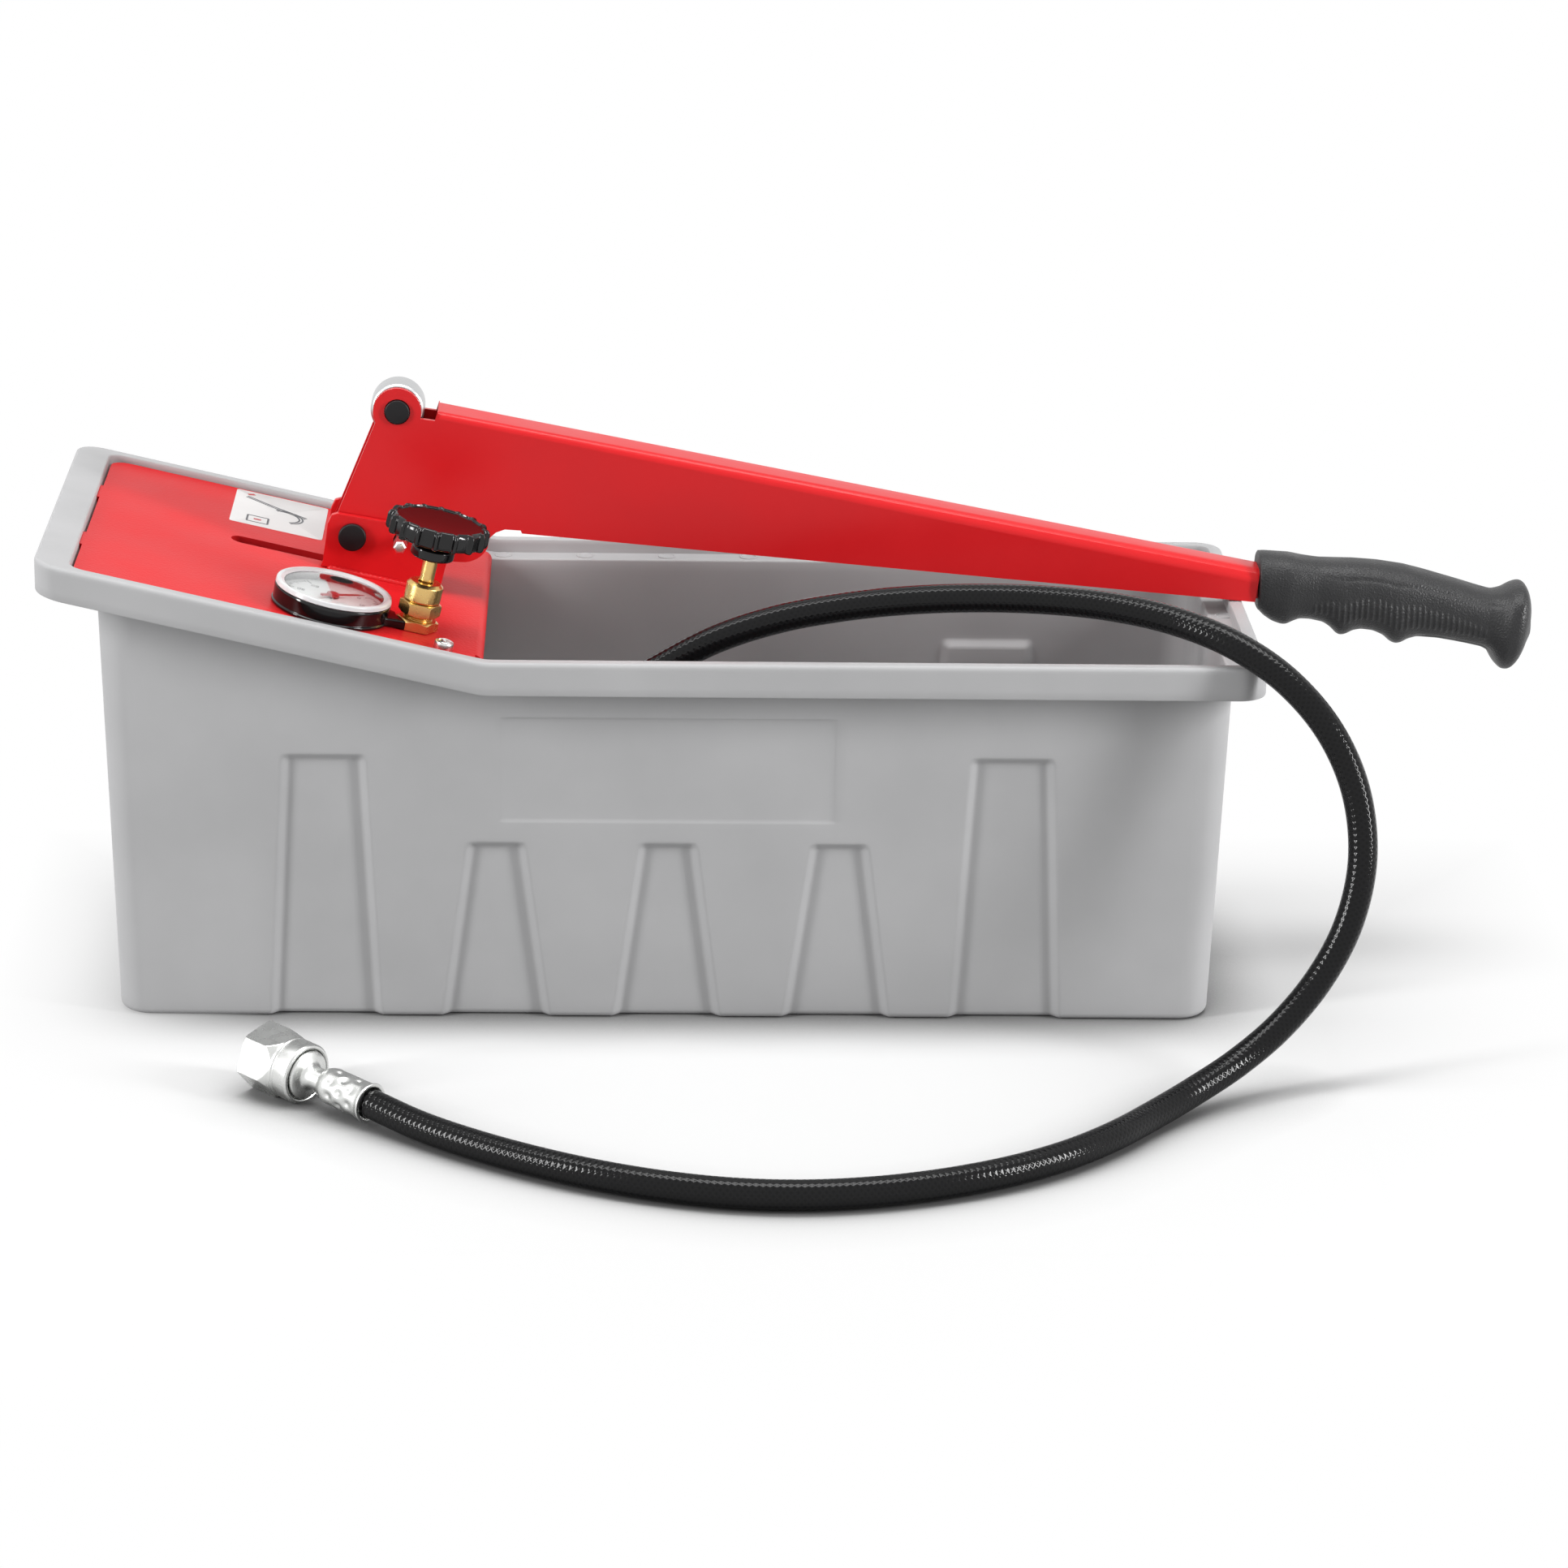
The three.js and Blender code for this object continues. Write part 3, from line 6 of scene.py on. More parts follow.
import bpy
import bmesh
import math
import mathutils
import numpy as np
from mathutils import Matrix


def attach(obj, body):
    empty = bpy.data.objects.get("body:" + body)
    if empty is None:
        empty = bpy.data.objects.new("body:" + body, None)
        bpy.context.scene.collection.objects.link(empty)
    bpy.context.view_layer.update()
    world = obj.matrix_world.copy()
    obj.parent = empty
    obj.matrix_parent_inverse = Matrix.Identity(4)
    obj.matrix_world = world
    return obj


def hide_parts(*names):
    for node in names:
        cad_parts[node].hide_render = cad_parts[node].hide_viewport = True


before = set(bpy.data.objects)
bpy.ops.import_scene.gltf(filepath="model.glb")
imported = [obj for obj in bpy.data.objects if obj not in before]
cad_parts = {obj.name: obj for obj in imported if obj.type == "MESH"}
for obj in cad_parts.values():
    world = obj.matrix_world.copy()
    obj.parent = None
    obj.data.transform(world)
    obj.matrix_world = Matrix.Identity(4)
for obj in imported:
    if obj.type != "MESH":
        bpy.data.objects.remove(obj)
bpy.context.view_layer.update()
MM = 0.001
ORIGIN = np.array([62.05, 0.0, 0.0])  # the model's origin, from the middle of the tank

# %% [markdown]
# Every piece is made by the same few steps: points on a grid, faces between them, a finish and a body to ride on.
# A grid keeps neighbouring points together, so a whole surface is one array and one formula.
# Each finish is listed under a slot of the record.

# %% Mesh helpers
SLOTS = {}


def grid_faces(rows, columns, closed=True):
    """Quads between neighbours of a grid of points; closed joins the last column to the first."""
    last = columns if closed else columns - 1
    i, j = np.meshgrid(np.arange(rows - 1), np.arange(last), indexing="ij")
    k = (j + 1) % columns
    return np.stack([i * columns + j, i * columns + k, (i + 1) * columns + k, (i + 1) * columns + j], -1).reshape(-1, 4)


def placed(points, matrix=None):
    """Points through a 4 by 4 matrix, as rows times its transpose."""
    flat = np.asarray(points, float).reshape(-1, 3)
    return flat if matrix is None else flat @ matrix[:3, :3].T + matrix[:3, 3]


def in_model(points):
    """Points in millimetres about the tank's middle, moved to the model's frame in metres."""
    return (np.asarray(points, float) - ORIGIN) * MM


def linked(name, data):
    """A new object in the scene, from a mesh, a lamp or a camera."""
    made = bpy.data.objects.new(name, data)
    bpy.context.scene.collection.objects.link(made)
    return made


def dressed(piece, finish, body, stands_for, slot=None):
    """Gives a piece its finish and the body it rides on, and hides the model's piece that it stands for."""
    piece.data.materials.append(finish)
    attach(piece, body)
    slot = SLOTS[finish.name] if slot is None else slot
    if stands_for:
        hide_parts(stands_for)
    print(piece.name, len(piece.data.vertices), "points")
    return piece


def make_piece(
    name, points, finish, body="root", stands_for=None, matrix=None, sharp=35.0, faces=None, uv=None, slot=None
):
    """A piece from a grid of points, or from points and faces, in millimetres about the tank's middle."""
    faces = grid_faces(*points.shape[:2]) if faces is None else faces
    mesh = bpy.data.meshes.new(name)
    mesh.from_pydata(in_model(placed(points, matrix)).tolist(), [], faces.tolist())
    if uv is not None:
        layer = mesh.uv_layers.new(name="along")
        corner = np.empty(len(mesh.loops), int)
        mesh.loops.foreach_get("vertex_index", corner)
        layer.data.foreach_set("uv", np.asarray(uv)[corner].ravel())
    work = bmesh.new()
    work.from_mesh(mesh)
    bmesh.ops.remove_doubles(work, verts=work.verts, dist=2e-7)
    bmesh.ops.recalc_face_normals(work, faces=work.faces)
    work.to_mesh(mesh)
    work.free()
    mesh.shade_smooth()
    mesh.set_sharp_from_angle(angle=math.radians(sharp))
    return dressed(linked(name, mesh), finish, body, stands_for, slot)


def eased_copy(source, name, ease, finish, body="root"):
    """A copy of a sheet or block of the model, its doubled points merged and its sharp edges eased by a bevel."""
    work = bmesh.new()
    work.from_mesh(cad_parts[source].data)
    bmesh.ops.remove_doubles(work, verts=work.verts, dist=2e-6)
    bmesh.ops.dissolve_limit(work, angle_limit=math.radians(0.6), verts=work.verts, edges=work.edges)
    mesh = bpy.data.meshes.new(name)
    work.to_mesh(mesh)
    work.free()
    mesh.shade_smooth()
    piece = dressed(linked(name, mesh), finish, body, source)
    bevel = piece.modifiers.new("eased edges", "BEVEL")
    bevel.width, bevel.segments = ease * MM, 3
    bevel.limit_method, bevel.angle_limit = "ANGLE", math.radians(32)
    weighted = piece.modifiers.new("flat faces stay flat", "WEIGHTED_NORMAL")
    weighted.weight, weighted.keep_sharp = 90, False


# %% [markdown]
# Turned pieces need a profile with small rounded corners, because a real edge always catches a line of light.

# %% Profiles and frames


def eased_profile(corners, steps=4):
    """Corners of (radius, height, easing) joined by straight lines, each corner cut by a quadratic arc."""
    spots = np.array([c[:2] for c in corners], float)
    out = []
    for i, (r, h, ease) in enumerate(corners):
        if ease <= 0 or i in (0, len(corners) - 1):
            out.append([[r, h]])
            continue
        back, ahead = spots[i - 1] - spots[i], spots[i + 1] - spots[i]
        reach = min(ease, 0.49 * np.hypot(*back), 0.49 * np.hypot(*ahead))
        start = spots[i] + back / np.hypot(*back) * reach
        end = spots[i] + ahead / np.hypot(*ahead) * reach
        t = np.linspace(0, 1, steps + 1)[:, None]
        out.append((1 - t) ** 2 * start + 2 * t * (1 - t) * spots[i] + t**2 * end)
    return np.vstack(out)


def refined(profile, step):
    """The same line with points added, so that no two neighbours stand further apart than the step."""
    run = np.r_[0, np.cumsum(np.hypot(*np.diff(profile, axis=0).T))]
    spots = np.union1d(run, np.arange(0, run[-1], step))
    return np.column_stack([np.interp(spots, run, profile[:, 0]), np.interp(spots, run, profile[:, 1])])


def circle(sides):
    """Turns round a circle, the last one short of the first."""
    return np.linspace(0, 2 * np.pi, sides, endpoint=False)


def rounds(radius, height, turn):
    """A grid round Z from a radius and a height at each row and turn: x = r cos a, y = r sin a."""
    radius = radius + 0 * turn
    return np.stack([radius * np.cos(turn), radius * np.sin(turn), height + 0 * radius], -1)


def turned(profile, sides=64):
    """A grid from a profile of radius and height swept round Z; a profile of corners is eased first."""
    profile = eased_profile(profile) if len(profile[0]) == 3 else profile
    return rounds(profile[:, :1], profile[:, 1:], circle(sides))


def joined(grids):
    """Equal grids as one set of points and faces."""
    rows, columns = grids[0].shape[:2]
    faces = [grid_faces(rows, columns) + i * rows * columns for i in range(len(grids))]
    return np.vstack([grid.reshape(-1, 3) for grid in grids]), np.vstack(faces)


def frame_at(place, x_axis, y_axis, z_axis):
    """A 4 by 4 matrix whose columns are three axes and a place."""
    matrix = np.eye(4)
    matrix[:3, 0], matrix[:3, 1], matrix[:3, 2], matrix[:3, 3] = x_axis, y_axis, z_axis, place
    return matrix


def unit(v):
    """A vector divided by its length."""
    return np.asarray(v, float) / np.linalg.norm(v)


# millimetres: the rim's height and where it starts to climb to the left, and the pump's axes as x and z
RIM, CREST_X = 159.5, -68.5
SLOPE = math.atan2(41.0, 181.5)
LEVER_Y = 12.0
PIVOT, EYE, TRUNNION = (-126.5, 185.9), (-107.5, 238.9), (-156.5, 109.9)
c, s = math.cos(SLOPE), math.sin(SLOPE)
deck = frame_at([CREST_X, 0, RIM], [c, 0, -s], [0, 1, 0], [s, 0, c])


def on_deck(along, y, height=0.0):
    """A frame parallel to the sloped plate, at a place along it from the crest."""
    matrix = deck.copy()
    matrix[:3, 3] = placed([[along, y, height]], deck)[0]
    return matrix


def across(x, z):
    """A frame in the lever's middle whose Z runs along -Y, towards the viewer, for pins through the lever."""
    return frame_at([x, LEVER_Y, z], [1, 0, 0], [0, 0, 1], [0, -1, 0])


print("plate's slope", round(math.degrees(SLOPE), 2), "degrees")

# %% [markdown]
# The camera stands where the photograph's did: 2.2 metres away, 18.5 degrees above the floor.
# Its place was solved from the straight edges of the tank's rim.

# %% Camera
ELEVATION, YAW, ROLL, DISTANCE = 0.32334, -0.03589, 0.01798, 2172.5
TARGET = np.array([56.531, 0.0, 77.216])
FOCAL_PIXELS, PHOTO_PIXELS, SENSOR = 6260, 1932, 36.0
back = np.array([math.sin(YAW) * math.cos(ELEVATION), -math.cos(YAW) * math.cos(ELEVATION), math.sin(ELEVATION)])
right = unit(np.cross(-back, [0, 0, 1]))
up = np.cross(right, -back)
image_right = right * math.cos(ROLL) + up * math.sin(ROLL)
image_up = -right * math.sin(ROLL) + up * math.cos(ROLL)
eye = in_model(TARGET + back * DISTANCE)
camera_data = bpy.data.cameras.new("camera")
camera_data.sensor_width, camera_data.lens = SENSOR, FOCAL_PIXELS / PHOTO_PIXELS * SENSOR
camera_data.clip_end = 50.0
camera = linked("camera", camera_data)
camera.matrix_world = mathutils.Matrix(frame_at(eye, image_right, image_up, back).tolist())
bpy.context.scene.camera = camera
print("camera at", eye.round(3))

# %% [markdown]
# A finish starts from what the real surface is. One function turns a hex colour into the linear numbers that
# Blender works in, and one adds a node with its settings and links.

# %% Colour and node helpers


def linear(colour):
    """sRGB hex to linear light: c/12.92 below 0.04045, else ((c + 0.055)/1.055)^2.4."""
    c = np.array([int(colour[i : i + 2], 16) for i in (1, 3, 5)]) / 255
    return [*np.where(c <= 0.04045, c / 12.92, ((c + 0.055) / 1.055) ** 2.4).tolist(), 1.0]


def node(owner, kind, inputs=None, **settings):
    """One node of a material or world: its settings by name, and each input a value or another node's output."""
    tree = owner.node_tree
    made = tree.nodes.new(kind)
    for key, value in settings.items():
        setattr(made, key, value)
    for key, value in (inputs or {}).items():
        if isinstance(value, bpy.types.NodeSocket):
            tree.links.new(value, made.inputs[key])
        else:
            made.inputs[key].default_value = value
    return made


def maths(owner, operation, *values):
    """One step of arithmetic on values or outputs."""
    return node(owner, "ShaderNodeMath", dict(enumerate(values)), operation=operation).outputs[0]


def feed(owner, output, socket):
    """Leads an output to a socket of the material's Principled surface."""
    owner.node_tree.links.new(output, owner.node_tree.nodes["Principled BSDF"].inputs[socket])


def own_place(owner):
    """Places on the piece itself, in metres."""
    return node(owner, "ShaderNodeTexCoord").outputs["Object"]


def grain(owner, size_mm, detail=2.0, where=None):
    """Noise whose grains are about size_mm across on the real piece."""
    inputs = {"Vector": own_place(owner) if where is None else where, "Scale": 1000.0 / size_mm, "Detail": detail}
    return node(owner, "ShaderNodeTexNoise", inputs).outputs["Fac"]


def between(owner, factor, low, high, colours):
    """Blends two colours as a factor goes from low to high."""
    ramp = node(owner, "ShaderNodeValToRGB", {"Fac": factor})
    for element, place, colour in zip(ramp.color_ramp.elements, (low, high), colours):
        element.position, element.color = place, linear(colour)
    return ramp.outputs["Color"]


def spread(owner, factor, low, high, least, most):
    """A factor's range low to high, moved to another range."""
    inputs = {"Value": factor, "From Min": low, "From Max": high, "To Min": least, "To Max": most}
    return node(owner, "ShaderNodeMapRange", inputs).outputs["Result"]


def bumped(owner, height, depth_mm, strength):
    """Tilts the surface by a height pattern of depth_mm."""
    made = node(owner, "ShaderNodeBump", {"Height": height, "Distance": depth_mm * MM, "Strength": strength})
    feed(owner, made.outputs["Normal"], "Normal")


def new_finish(name, slot, colour, roughness, drift=None, **sockets):
    """A material of one Principled surface; drift is (grain in mm, detail, least, most) of its roughness."""
    finish = bpy.data.materials.new(name)
    finish.use_nodes = True
    finish.diffuse_color = linear(colour)
    SLOTS[name] = slot
    for key, value in {"Base_Color": linear(colour), "Roughness": roughness, **sockets}.items():
        finish.node_tree.nodes["Principled BSDF"].inputs[key.replace("_", " ")].default_value = value
    if drift:
        feed(finish, spread(finish, grain(finish, *drift[:2]), 0.3, 0.7, *drift[2:]), "Roughness")
    return finish


print("helpers ready")

# %% [markdown]
# The hose is a black plastic cover over a steel braid that presses through it. Its finish follows the hose, so it
# reads the hose's own map: u once round, v along in metres. Two crossed sets of diagonal waves make the braid.

# %% Hose finish
HOSE_RADIUS, BRAID_STRANDS, BRAID_STEP = 5.98, 12, 0.0026  # the step from strand to strand is in metres
hose_finish = new_finish(
    "black hose cover over braid", "hose_rubber", "#0A0A0B", 0.14, (9, 2, 0.09, 0.15), Specular_IOR_Level=0.2
)
along_hose = node(hose_finish, "ShaderNodeUVMap", uv_map="along").outputs["UV"]
split = node(hose_finish, "ShaderNodeSeparateXYZ", {0: along_hose}).outputs
turn = maths(hose_finish, "MULTIPLY", split[0], 2 * math.pi * BRAID_STRANDS)
run = maths(hose_finish, "MULTIPLY", split[1], 2 * math.pi / BRAID_STEP)
waves = [maths(hose_finish, "SINE", maths(hose_finish, way, run, turn)) for way in ("ADD", "SUBTRACT")]
braid = maths(hose_finish, "MAXIMUM", *waves)
bumped(hose_finish, braid, 0.06, 0.7)
# painted shade: the cover's colour is a little darker in the hollows between the braid's raised strands
braid_hollow_shade = between(hose_finish, spread(hose_finish, braid, -1, 1, 0, 1), 0.2, 0.9, ("#070708", "#101011"))
feed(hose_finish, braid_hollow_shade, "Base Color")
print("braid", BRAID_STRANDS, "strands round")

# %% [markdown]
# The hose is one smooth curve through the model's own points, 12 mm thick and 0.93 m long. A tube is a circle
# carried along the curve; the circle's frame is turned from step to step only as much as the curve turns.

# %% Hose route and tube
hose_route = np.array([
    [-58.9, -58, 131.3], [-51, -58, 129.7], [-36, -57.8, 129.7], [-22, -56.8, 133], [-9, -55, 138.9],
    [2, -53.5, 145.2], [25, -51.6, 157.2], [51, -50, 165.7], [78.5, -48.7, 170.8], [106.5, -48.5, 173.9],
    [134, -50.2, 175.5], [161, -55.3, 176.4], [187, -64, 176.3], [211.5, -76, 174.2], [234, -90.5, 169],
    [255.1, -103.9, 157.8], [272.1, -115.4, 140.3], [282.7, -124.8, 118.1], [285.9, -132.8, 91.8],
    [280.6, -139.3, 65.8], [268.9, -145.7, 44.2], [252.9, -154.1, 27.2], [235.3, -164.8, 16], [216.3, -179.4, 9.2],
    [197.9, -198.5, 6.4], [179.7, -220.7, 6.3], [159.5, -240.1, 6.3], [136.7, -255.7, 6.3], [111.7, -267.6, 6.3],
    [85.4, -275.7, 6.3], [58.3, -279.4, 6.3], [31.3, -278, 6.3], [4.7, -271.5, 6.3], [-21.2, -261, 6.3],
    [-45.9, -247.3, 6.3], [-69.4, -231.3, 6.4], [-91.2, -214, 7], [-111, -196.3, 9],
])


def smooth_path(spots, per_span=12):
    """Centripetal Catmull-Rom: knots spaced by the square root of distance, cubic between neighbours."""
    ends = np.vstack([2 * spots[0] - spots[1], spots, 2 * spots[-1] - spots[-2]])
    p0, p1, p2, p3 = ends[:-3], ends[1:-2], ends[2:-1], ends[3:]
    d0, d1, d2 = (np.sqrt(np.linalg.norm(b - a, axis=1))[:, None] for a, b in ((p0, p1), (p1, p2), (p2, p3)))
    m1 = ((p1 - p0) / d0 - (p2 - p0) / (d0 + d1) + (p2 - p1) / d1) * d1
    m2 = ((p2 - p1) / d1 - (p3 - p1) / (d1 + d2) + (p3 - p2) / d2) * d1
    t = np.linspace(0, 1, per_span, endpoint=False)[None, :, None]
    a, b, c, d = (x[:, None, :] for x in (2 * p1 - 2 * p2 + m1 + m2, -3 * p1 + 3 * p2 - 2 * m1 - m2, m1, p1))
    return np.vstack([(a * t**3 + b * t**2 + c * t + d).reshape(-1, 3), spots[-1:]])


def tube(path, radius, sides=24):
    """A circle carried along a path and turned no more than it turns, closed at both ends; u is round, v along."""
    ahead = np.gradient(path, axis=0)
    ahead /= np.linalg.norm(ahead, axis=1)[:, None]
    side = [unit(np.cross(ahead[0], [0, 0, 1]))]
    for direction in ahead[1:]:
        side.append(unit(side[-1] - direction * np.dot(side[-1], direction)))
    side = np.array(side)
    over = np.cross(ahead, side)
    a = np.linspace(0, 2 * np.pi, sides + 1)
    ring = np.cos(a)[:, None] * side[:, None] + np.sin(a)[:, None] * over[:, None]
    ends = path[[0, -1], None] + 0 * ring[:2]
    points = np.concatenate([ends[:1], path[:, None] + radius * ring, ends[1:]])
    run = np.r_[0, np.cumsum(np.linalg.norm(np.diff(path, axis=0), axis=1))] * MM
    v = np.r_[run[0], run, run[-1]][:, None] + 0 * a
    uv = np.stack([a / (2 * np.pi) + 0 * v, v], -1)
    return points, grid_faces(len(path) + 2, sides + 1, closed=False), uv.reshape(-1, 2)


hose_path = smooth_path(hose_route)
points, faces, uv = tube(hose_path, HOSE_RADIUS)
hose = make_piece("hose_tube", points, hose_finish, stands_for="hose", faces=faces, uv=uv)

# %% [markdown]
# The floor is pale paper with a painted contact shadow: its colour darkens close to whatever stands on it. The
# background is white to the camera and to reflections only, and away from the pump so is the floor.

# %% Floor and world
WHITE = linear("#FFFFFF")


def seen_by_eye(owner):
    """1 on a ray from the camera or on its way through a reflection or a lens, and 0 on the rays that light things."""
    ray = node(owner, "ShaderNodeLightPath").outputs
    seen = maths(owner, "MAXIMUM", ray["Is Camera Ray"], ray["Is Glossy Ray"])
    return maths(owner, "MAXIMUM", seen, ray["Is Transmission Ray"])


def show_mix(owner, share, first, second, end):
    """Leads a mix of two shaders to the tree's output node."""
    mixed = node(owner, "ShaderNodeMixShader", {0: share, 1: first, 2: second})
    owner.node_tree.links.new(mixed.outputs[0], owner.node_tree.nodes[end].inputs["Surface"])


floor_mesh = bpy.data.meshes.new("floor")
floor_mesh.from_pydata([(-6, -6, 0), (6, -6, 0), (6, 9, 0), (-6, 9, 0)], [], [(0, 1, 2, 3)])
floor = linked("floor", floor_mesh)
paper = new_finish("matte studio paper", "", "#F4F4F4", 0.9, Specular_IOR_Level=0.1)
seen = seen_by_eye(paper)
# painted contact shadow: the colour the eye sees darkens where ambient occlusion finds the pump close by.
# What the paper throws back up at the pump is less than what the eye sees of it.
shade_occlusion = node(paper, "ShaderNodeAmbientOcclusion", {"Distance": 0.035}, samples=8).outputs["AO"]
painted_contact_shadow = between(paper, shade_occlusion, 0.35, 0.97, ("#686868", "#D4D4D4"))
shade = node(paper, "ShaderNodeMix", {0: seen, 6: linear("#9C9C9C"), 7: painted_contact_shadow}, data_type="RGBA")
feed(paper, shade.outputs[2], "Base Color")
# the paper burns out to plain white over these distances in metres: to either side, behind and in front
side = node(paper, "ShaderNodeSeparateXYZ", {0: own_place(paper)}).outputs
far = spread(paper, maths(paper, "ABSOLUTE", side[0]), 0.22, 0.34, 0, 1)
for near, away in ((0.0, 0.16), (-0.32, -0.45)):
    far = maths(paper, "MAXIMUM", far, spread(paper, side[1], near, away, 0, 1))
glow = node(paper, "ShaderNodeEmission", {"Color": WHITE, "Strength": 1.0}).outputs[0]
surface = paper.node_tree.nodes["Principled BSDF"].outputs[0]
show_mix(paper, maths(paper, "MULTIPLY", seen, far), surface, glow, "Material Output")
floor_mesh.materials.append(paper)

world = bpy.data.worlds.new("studio")
bpy.context.scene.world = world
world.use_nodes = True
fill = world.node_tree.nodes["Background"]
fill.inputs["Color"].default_value, fill.inputs["Strength"].default_value = WHITE, 0.38
white = node(world, "ShaderNodeBackground", {"Color": WHITE, "Strength": 1.0}).outputs[0]
show_mix(world, seen_by_eye(world), fill.outputs[0], white, "World Output")
print("floor and world are white to the camera")

# %% [markdown]
# Soft lamps stand in for a studio: a long strip overhead and an upright box in front at either side. Each has a
# place, a width and a height in metres and a power in watts.

# %% Lamps
AIM = np.array([0, 0, 0.1])


def lamp(name, place, size, power):
    """An area lamp turned to the pump."""
    data = bpy.data.lights.new(name, "AREA")
    data.shape, data.energy = "RECTANGLE", power
    data.size, data.size_y = size
    z = unit(place - AIM)
    x = unit(np.cross([0, 0, 1] if abs(z[2]) < 0.8 else [0, 1, 0], z))
    linked(name, data).matrix_world = mathutils.Matrix(frame_at(place, x, np.cross(z, x), z).tolist())


lamp("top_strip", (-0.1, -0.04, 1.9), (2.2, 0.5), 25)
lamp("left_box", (-1.9, -0.9, 0.9), (0.3, 1.3), 34)
lamp("right_box", (2.0, -0.9, 0.8), (0.3, 1.3), 46)

# %% [markdown]
# The tank is injection moulded in a grey polyolefin. The mould's fine spark texture gives it a soft, even sheen, and
# the colour wanders a little where the melt flowed. The scratches that a site leaves are fine and shallow.

# %% Tank finish
tank_finish = new_finish(
    "moulded grey polypropylene", "tank_plastic", "#ABABAC", 0.5, (14, 4, 0.42, 0.56), Specular_IOR_Level=0.25
)
clouds = grain(tank_finish, 60, 3)
feed(tank_finish, between(tank_finish, clouds, 0.3, 0.7, ("#A8A8A9", "#B0B0B1")), "Base Color")
# spark texture of about 0.5 mm, drawn at 0.9 mm so that it shows
bumped(tank_finish, grain(tank_finish, 0.9, 3), 0.02, 0.5)
print("tank finish ready")

# %% [markdown]
# The rim's line is level on the right and climbs to the left from a soft crest. A smooth ramp, the half sum of a
# value and its rounded size, gives the bend its small radius.

# %% Rim line and wall recesses
RIM_HALF_LENGTH, RIM_HALF_WIDTH, RIM_CORNER, CREST_SOFTNESS = 250.0, 95.0, 12.0, 0.4
BODY_MIDDLE, BODY_HALF_LENGTH, BODY_HALF_WIDTH, BODY_CORNER, DRAFT = 6.2, 227.6, 78.0, 14.0, 0.029
WALL, SKIRT_DROP, LEDGE_DROP, LEDGE_ROUND = 3.5, 8.8, 5.8, 0.9
# place along the wall from the body's middle, height, width at the top and width at the foot
FLUTES = [(-141.3, 116, 34.5, 46.5), (-70.8, 78, 24, 45), (0, 78, 24, 45), (70.8, 78, 24, 45), (141.3, 116, 34.5, 46.5)]
FLUTE_DEPTH, FLANK, INNER_GROWTH = 3.0, 3.0, 2.8
# the panel's left, right, foot, top and depth
PANEL = (-62.65, 75.05, 86.9, 132.6, 0.8)


def rim_line(x, drop):
    """Height of the rim, a drop square below it: level, plus a smooth ramp left of the crest."""
    rise = (CREST_X - drop * math.tan(SLOPE / 2) - x) * math.tan(SLOPE)
    return RIM - drop + 0.5 * (rise + np.sqrt(rise * rise + CREST_SOFTNESS**2))


def ramp(t, ease=0.12):
    """0 before 0, 1 after 1 and straight between, with both corners eased."""
    return 0.5 * (np.sqrt(t * t + ease * ease) - np.sqrt((t - 1) ** 2 + ease * ease) + 1)


def flute_half(z, top, top_width, foot_width):
    """Half a flute's width, which shrinks evenly with height and then stays."""
    return top_width / 2 + (foot_width - top_width) / 2 * np.clip(1 - z / top, 0, 1)


def recess(x, z, inner):
    """How far a long wall steps inwards: each flute is a ramp from its sides times a ramp from its top."""
    growth = INNER_GROWTH if inner else 0.0
    total = 0 * x
    for place, top, top_width, foot_width in FLUTES:
        side = flute_half(z, top, top_width, foot_width) + growth - np.abs(x - BODY_MIDDLE - place)
        total = np.maximum(total, FLUTE_DEPTH * ramp(side / FLANK) * ramp((top + growth - z) / FLANK))
    return total


print("rim height at the left end", round(float(rim_line(np.array(-250.0), 0)), 1))

# %% [markdown]
# The tank is one closed grid of points. Its columns go once round the plan, and its rows go from the middle of the
# underside up the outer wall, round the rolled rim, over the ledge and down inside to the middle of the floor.
# The columns on the long sides follow the edges of the flutes, so the edges stay crisp at a modest count.

# %% Tank columns
FLANK_KEYS = np.array([1.2, 0.3, -0.5, -1.5, -2.5, -3.3, -4.2])
TAB_KEYS = np.array([46.9, 46.2, 27.8, 27.1, -26.1, -26.8, -45.2, -45.9])
CREST_KEYS, PANEL_KEYS = np.array([-3, -1.1, 0, 1.1, 3]), np.array([-0.4, 0.4])
ARC, END_POINTS, LONGEST_STEP = 10, 15, 11.0


def long_side(z, start, end, growth):
    """Places along a long wall at one height: its ends, the flutes' flanks, the crest and the panel's ends."""
    keys = [CREST_X + CREST_KEYS, PANEL[0] + PANEL_KEYS, PANEL[1] + PANEL_KEYS]
    for place, top, top_width, foot_width in FLUTES:
        half = flute_half(z, top, top_width, foot_width) + growth
        keys += [BODY_MIDDLE + place - half - FLANK_KEYS, BODY_MIDDLE + place + half + FLANK_KEYS]
    return np.r_[start, np.sort(np.concatenate(keys)), end]


# the same counts at every height, from the widest gaps at the wall's foot and at its top
at_foot, at_top = long_side(0.0, -221.4, 233.8, 0.0), long_side(120.0, -225.0, 237.4, INNER_GROWTH)
COUNTS = np.maximum(1, np.ceil(np.maximum(np.diff(at_foot), np.diff(at_top)) / LONGEST_STEP)).astype(int)


def filled(keys):
    """Evenly spaced places between each two keys, the last key included."""
    steps = [k0 + (k1 - k0) * np.arange(n) / n for k0, k1, n in zip(keys, keys[1:], COUNTS)]
    return np.r_[np.concatenate(steps), keys[-1]]


